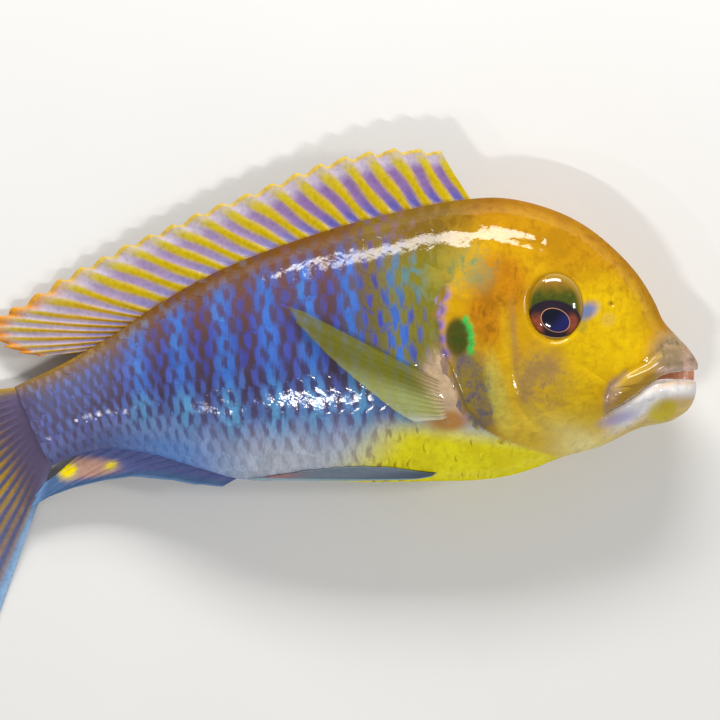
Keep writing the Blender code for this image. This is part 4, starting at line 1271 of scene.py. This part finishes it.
def build_pelvic(name, side, tree, material):
    def lie(p):
        apart = PELVIC_APART + PELVIC_SLOPE * (p[1] - PELVIC_EDGE_Y)
        return [*p, float(value_at(HEIGHTS, p[0])) + side * apart]

    roots = [lie(p) for p in np.linspace(*np.array(PELVIC_ROOT), len(PELVIC_TIPS))]
    grid, places, v = fin_grid("pelvic", roots, [lie(p) for p in PELVIC_TIPS])
    grid, normals = on_skin(tree, grid, -PELVIC_SUNK + PELVIC_EMERGES * step(v, 0.0, 0.14))
    thickness = fin_thickness("pelvic", places, v)
    return fin_object(name, grid, thickness, pelvic_colours(grid, places, v), material, normals)


# The eyes.

PUPIL = (39.55, 9.25)
PUPIL_RADII = (2.05, 1.55)
PUPIL_TURN = -24.0
IRIS = (39.4, 9.35)
IRIS_RADII = (3.75, 2.6)
IRIS_TURN = -9.0


def ellipse_share(n, centre, radii, turn):
    """Distance from an ellipse's centre, 1 on the ellipse, from the object's own place."""
    moved = n.feed(n.new("ShaderNodeMapping", vector_type="TEXTURE"), Vector=n.place(),
                   Location=(centre[0] * MM, centre[1] * MM, 0.0),
                   Rotation=(0.0, 0.0, math.radians(turn)),
                   Scale=(radii[0] * MM, radii[1] * MM, 1.0))
    x, y = n.axes(moved.outputs["Vector"])
    return n.math("SQRT", n.plus(n.times(x, x), n.times(y, y)))


def eye_material():
    n = Nodes("eye", 0.12, coat=1.0, coat_roughness=0.02, specular=0.1)
    n.feed(n.shader, Coat_IOR=EYE_IOR)
    grain = n.noise(1300.0, 4.0)
    x, y = n.axes(n.place())
    high = n.between(n.plus(y, n.times(grain, 1.2 * MM)), 13.0 * MM, 15.6 * MM)
    white = n.blend(high, n.blend(grain, (34, 42, 4), (92, 102, 12)), (148, 108, 24))
    # painted light: the eyeball's edge lightened to the skin's ochre, against the shade where it meets the
    # socket
    rim = n.times(n.between(ellipse_share(n, EYE, EYE_RADII, 0.0), 0.78, 0.98), 0.8)
    white = n.blend(rim, white, (172, 134, 40))
    iris_at = ellipse_share(n, IRIS, IRIS_RADII, IRIS_TURN)
    pupil_at = ellipse_share(n, PUPIL, PUPIL_RADII, PUPIL_TURN)
    side = n.between(n.math("ABSOLUTE", n.minus(x, PUPIL[0] * MM)), 1.2 * MM, 2.4 * MM)
    copper = n.blend(grain, (84, 36, 24), (196, 100, 66))
    iris = n.blend(n.times(side, n.between(y, 10.8 * MM, 9.0 * MM)), (40, 26, 40), copper)
    outer = n.between(n.plus(iris_at, n.times(grain, 0.12)), 0.86, 1.04)
    iris = n.blend(outer, iris, (34, 22, 36))
    colour = n.blend(n.between(iris_at, 0.96, 1.1), iris, white)
    gold = n.times(n.ring(iris_at, 0.94, 0.98, 1.0, 1.05), n.between(y, 8.6 * MM, 7.6 * MM))
    colour = n.blend(gold, colour, (190, 158, 96))
    colour = n.blend(n.ring(pupil_at, 0.985, 1.015, 1.03, 1.07), colour, (222, 156, 116))
    deep = n.between(n.minus(x, y), 29.4 * MM, 32.0 * MM)
    pupil = n.blend(deep, (8, 8, 32), (28, 32, 98))
    n.feed(n.shader, Base_Color=n.blend(n.between(pupil_at, 0.95, 1.0), pupil, colour))
    return n.material


def build_eye(name, side, tree, material):
    beside = EYE_MEASURED_AT * EYE_RADII[0]
    skin = sum(skin_height(tree, x, EYE[1], side) for x in (EYE[0] + beside, EYE[0] - beside)) / 2
    centre = (*EYE, skin + side * (EYE_STANDS_OUT - EYEBALL_RADII[2]))
    eye = mesh_object(name, [], [], material)

    def ball(mesh):
        around, high = EYE_SEGMENTS
        bmesh.ops.create_uvsphere(mesh, u_segments=around, v_segments=high, radius=1.0)
        for vert in mesh.verts:
            x, y, z = [c + part * radius for c, part, radius in zip(centre, vert.co, EYEBALL_RADII)]
            vert.co = Vector((x, y, max(z, FLOOR))) * MM
        for face in mesh.faces:
            face.smooth = True

    rebuild(eye, ball)
    return eye


# The studio.

VIEW_CENTRE = (12.11, 3.66)  # of the photograph, on the fish
VIEW_WIDTH = 101.4
VIEW_HEIGHT = 3008.7
VIEW_DISTANCE = 3000.0
LAMPS_AIM_AT = (*VIEW_CENTRE, 8.0)
SENSOR = 36.0
FLOOR_REACH = 900.0
FLOOR_GAP = 0.02
SKY = (0.95, 0.97, 1.0, 1.0)
SKY_STRENGTH = 0.275
LAMPS = [  # name, place, size, power in watts
    ("back_strip", (18.0, 372.0, 228.0), (290.0, 90.0), 1.7),
    ("rear_strip", (-196.0, -200.0, 334.0), (24.0, 7.0), 0.09),
    ("belly_strip", (-63.0, -194.0, 382.0), (76.0, 8.0), 0.44),
    ("eye_gloss", (-134.0, 350.0, 138.0), (60.0, 34.0), 0.2),
    ("right", (406.0, 38.0, 322.0), (60.0, 60.0), 0.5),
]


def floor_material():
    n = Nodes("floor", 0.6, specular=0.2)
    n.feed(n.shader, Base_Color=n.blend(n.noise(14.0), (228, 226, 222), (236, 234, 230)))
    return n.material


def add_lamp(name, place, size, power):
    data = bpy.data.lights.new(name, "AREA")
    data.shape = "RECTANGLE"
    data.size, data.size_y = size[0] * MM, size[1] * MM
    data.energy = power
    lamp = linked(name, data)
    lamp.location = Vector(place) * MM
    aim = Vector(LAMPS_AIM_AT) * MM - lamp.location
    lamp.rotation_euler = aim.to_track_quat("-Z", "Y").to_euler()


def build_studio():
    corners = [(x * FLOOR_REACH, y * FLOOR_REACH, 0) for x, y in ((-1, -1), (1, -1), (1, 1), (-1, 1))]
    floor = mesh_object("floor", corners, [(0, 1, 2, 3)], floor_material())
    floor.location.z = -FLOOR_GAP * MM
    camera = linked("camera", bpy.data.cameras.new("camera"))
    camera.data.sensor_width = SENSOR
    camera.data.lens = SENSOR * VIEW_DISTANCE / VIEW_WIDTH
    camera.data.clip_start = 0.01
    camera.location = Vector((*VIEW_CENTRE, VIEW_HEIGHT)) * MM
    scene = bpy.context.scene
    scene.camera = camera
    scene.world = bpy.data.worlds.new("room")
    scene.world.use_nodes = True
    sky = scene.world.node_tree.nodes["Background"]
    sky.inputs["Color"].default_value = SKY
    sky.inputs["Strength"].default_value = SKY_STRENGTH
    scene.view_settings.view_transform = "Standard"
    for row in LAMPS:
        add_lamp(*row)


def main():
    for obj in list(bpy.data.objects):
        bpy.data.objects.remove(obj)
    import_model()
    skin, tree = build_skin({"skin": skin_material(), "mouth": mouth_material()})
    scales, eye = scale_material(), eye_material()
    fin, clear = fin_material("fin_skin", False), fin_material("clear_fin_skin", True)
    pieces = [
        (skin, "flank", ("head", "lower_jaw", "trunk", "tail_stalk", "gill_cover_right",
                         "gill_cover_left")),
        (build_scales("scales_right", 1, scales), "flank", ()),
        (build_scales("scales_left", -1, scales), "flank", ()),
        (build_dorsal(fin), "fin", ("dorsal_fin",)),
        (build_anal(fin), "fin", ("anal_fin",)),
        (build_caudal(fin), "fin", ("caudal_fin",)),
        (build_pectoral("pectoral_skin_right", 1, tree, clear), "clear_fin", ("pectoral_fin_right",)),
        (build_pectoral("pectoral_skin_left", -1, tree, clear), "clear_fin", ("pectoral_fin_left",)),
        (build_pelvic("pelvic_skin_right", 1, tree, fin), "fin", ("pelvic_fin_right",)),
        (build_pelvic("pelvic_skin_left", -1, tree, fin), "fin", ("pelvic_fin_left",)),
        (build_eye("eye_right_ball", 1, tree, eye), "eye", ("eye_right",)),
        (build_eye("eye_left_ball", -1, tree, eye), "eye", ("eye_left",)),
    ]
    for piece, slot, nodes in pieces:
        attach(piece, "root")
        if nodes:
            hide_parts(*nodes)
    build_studio()


main()
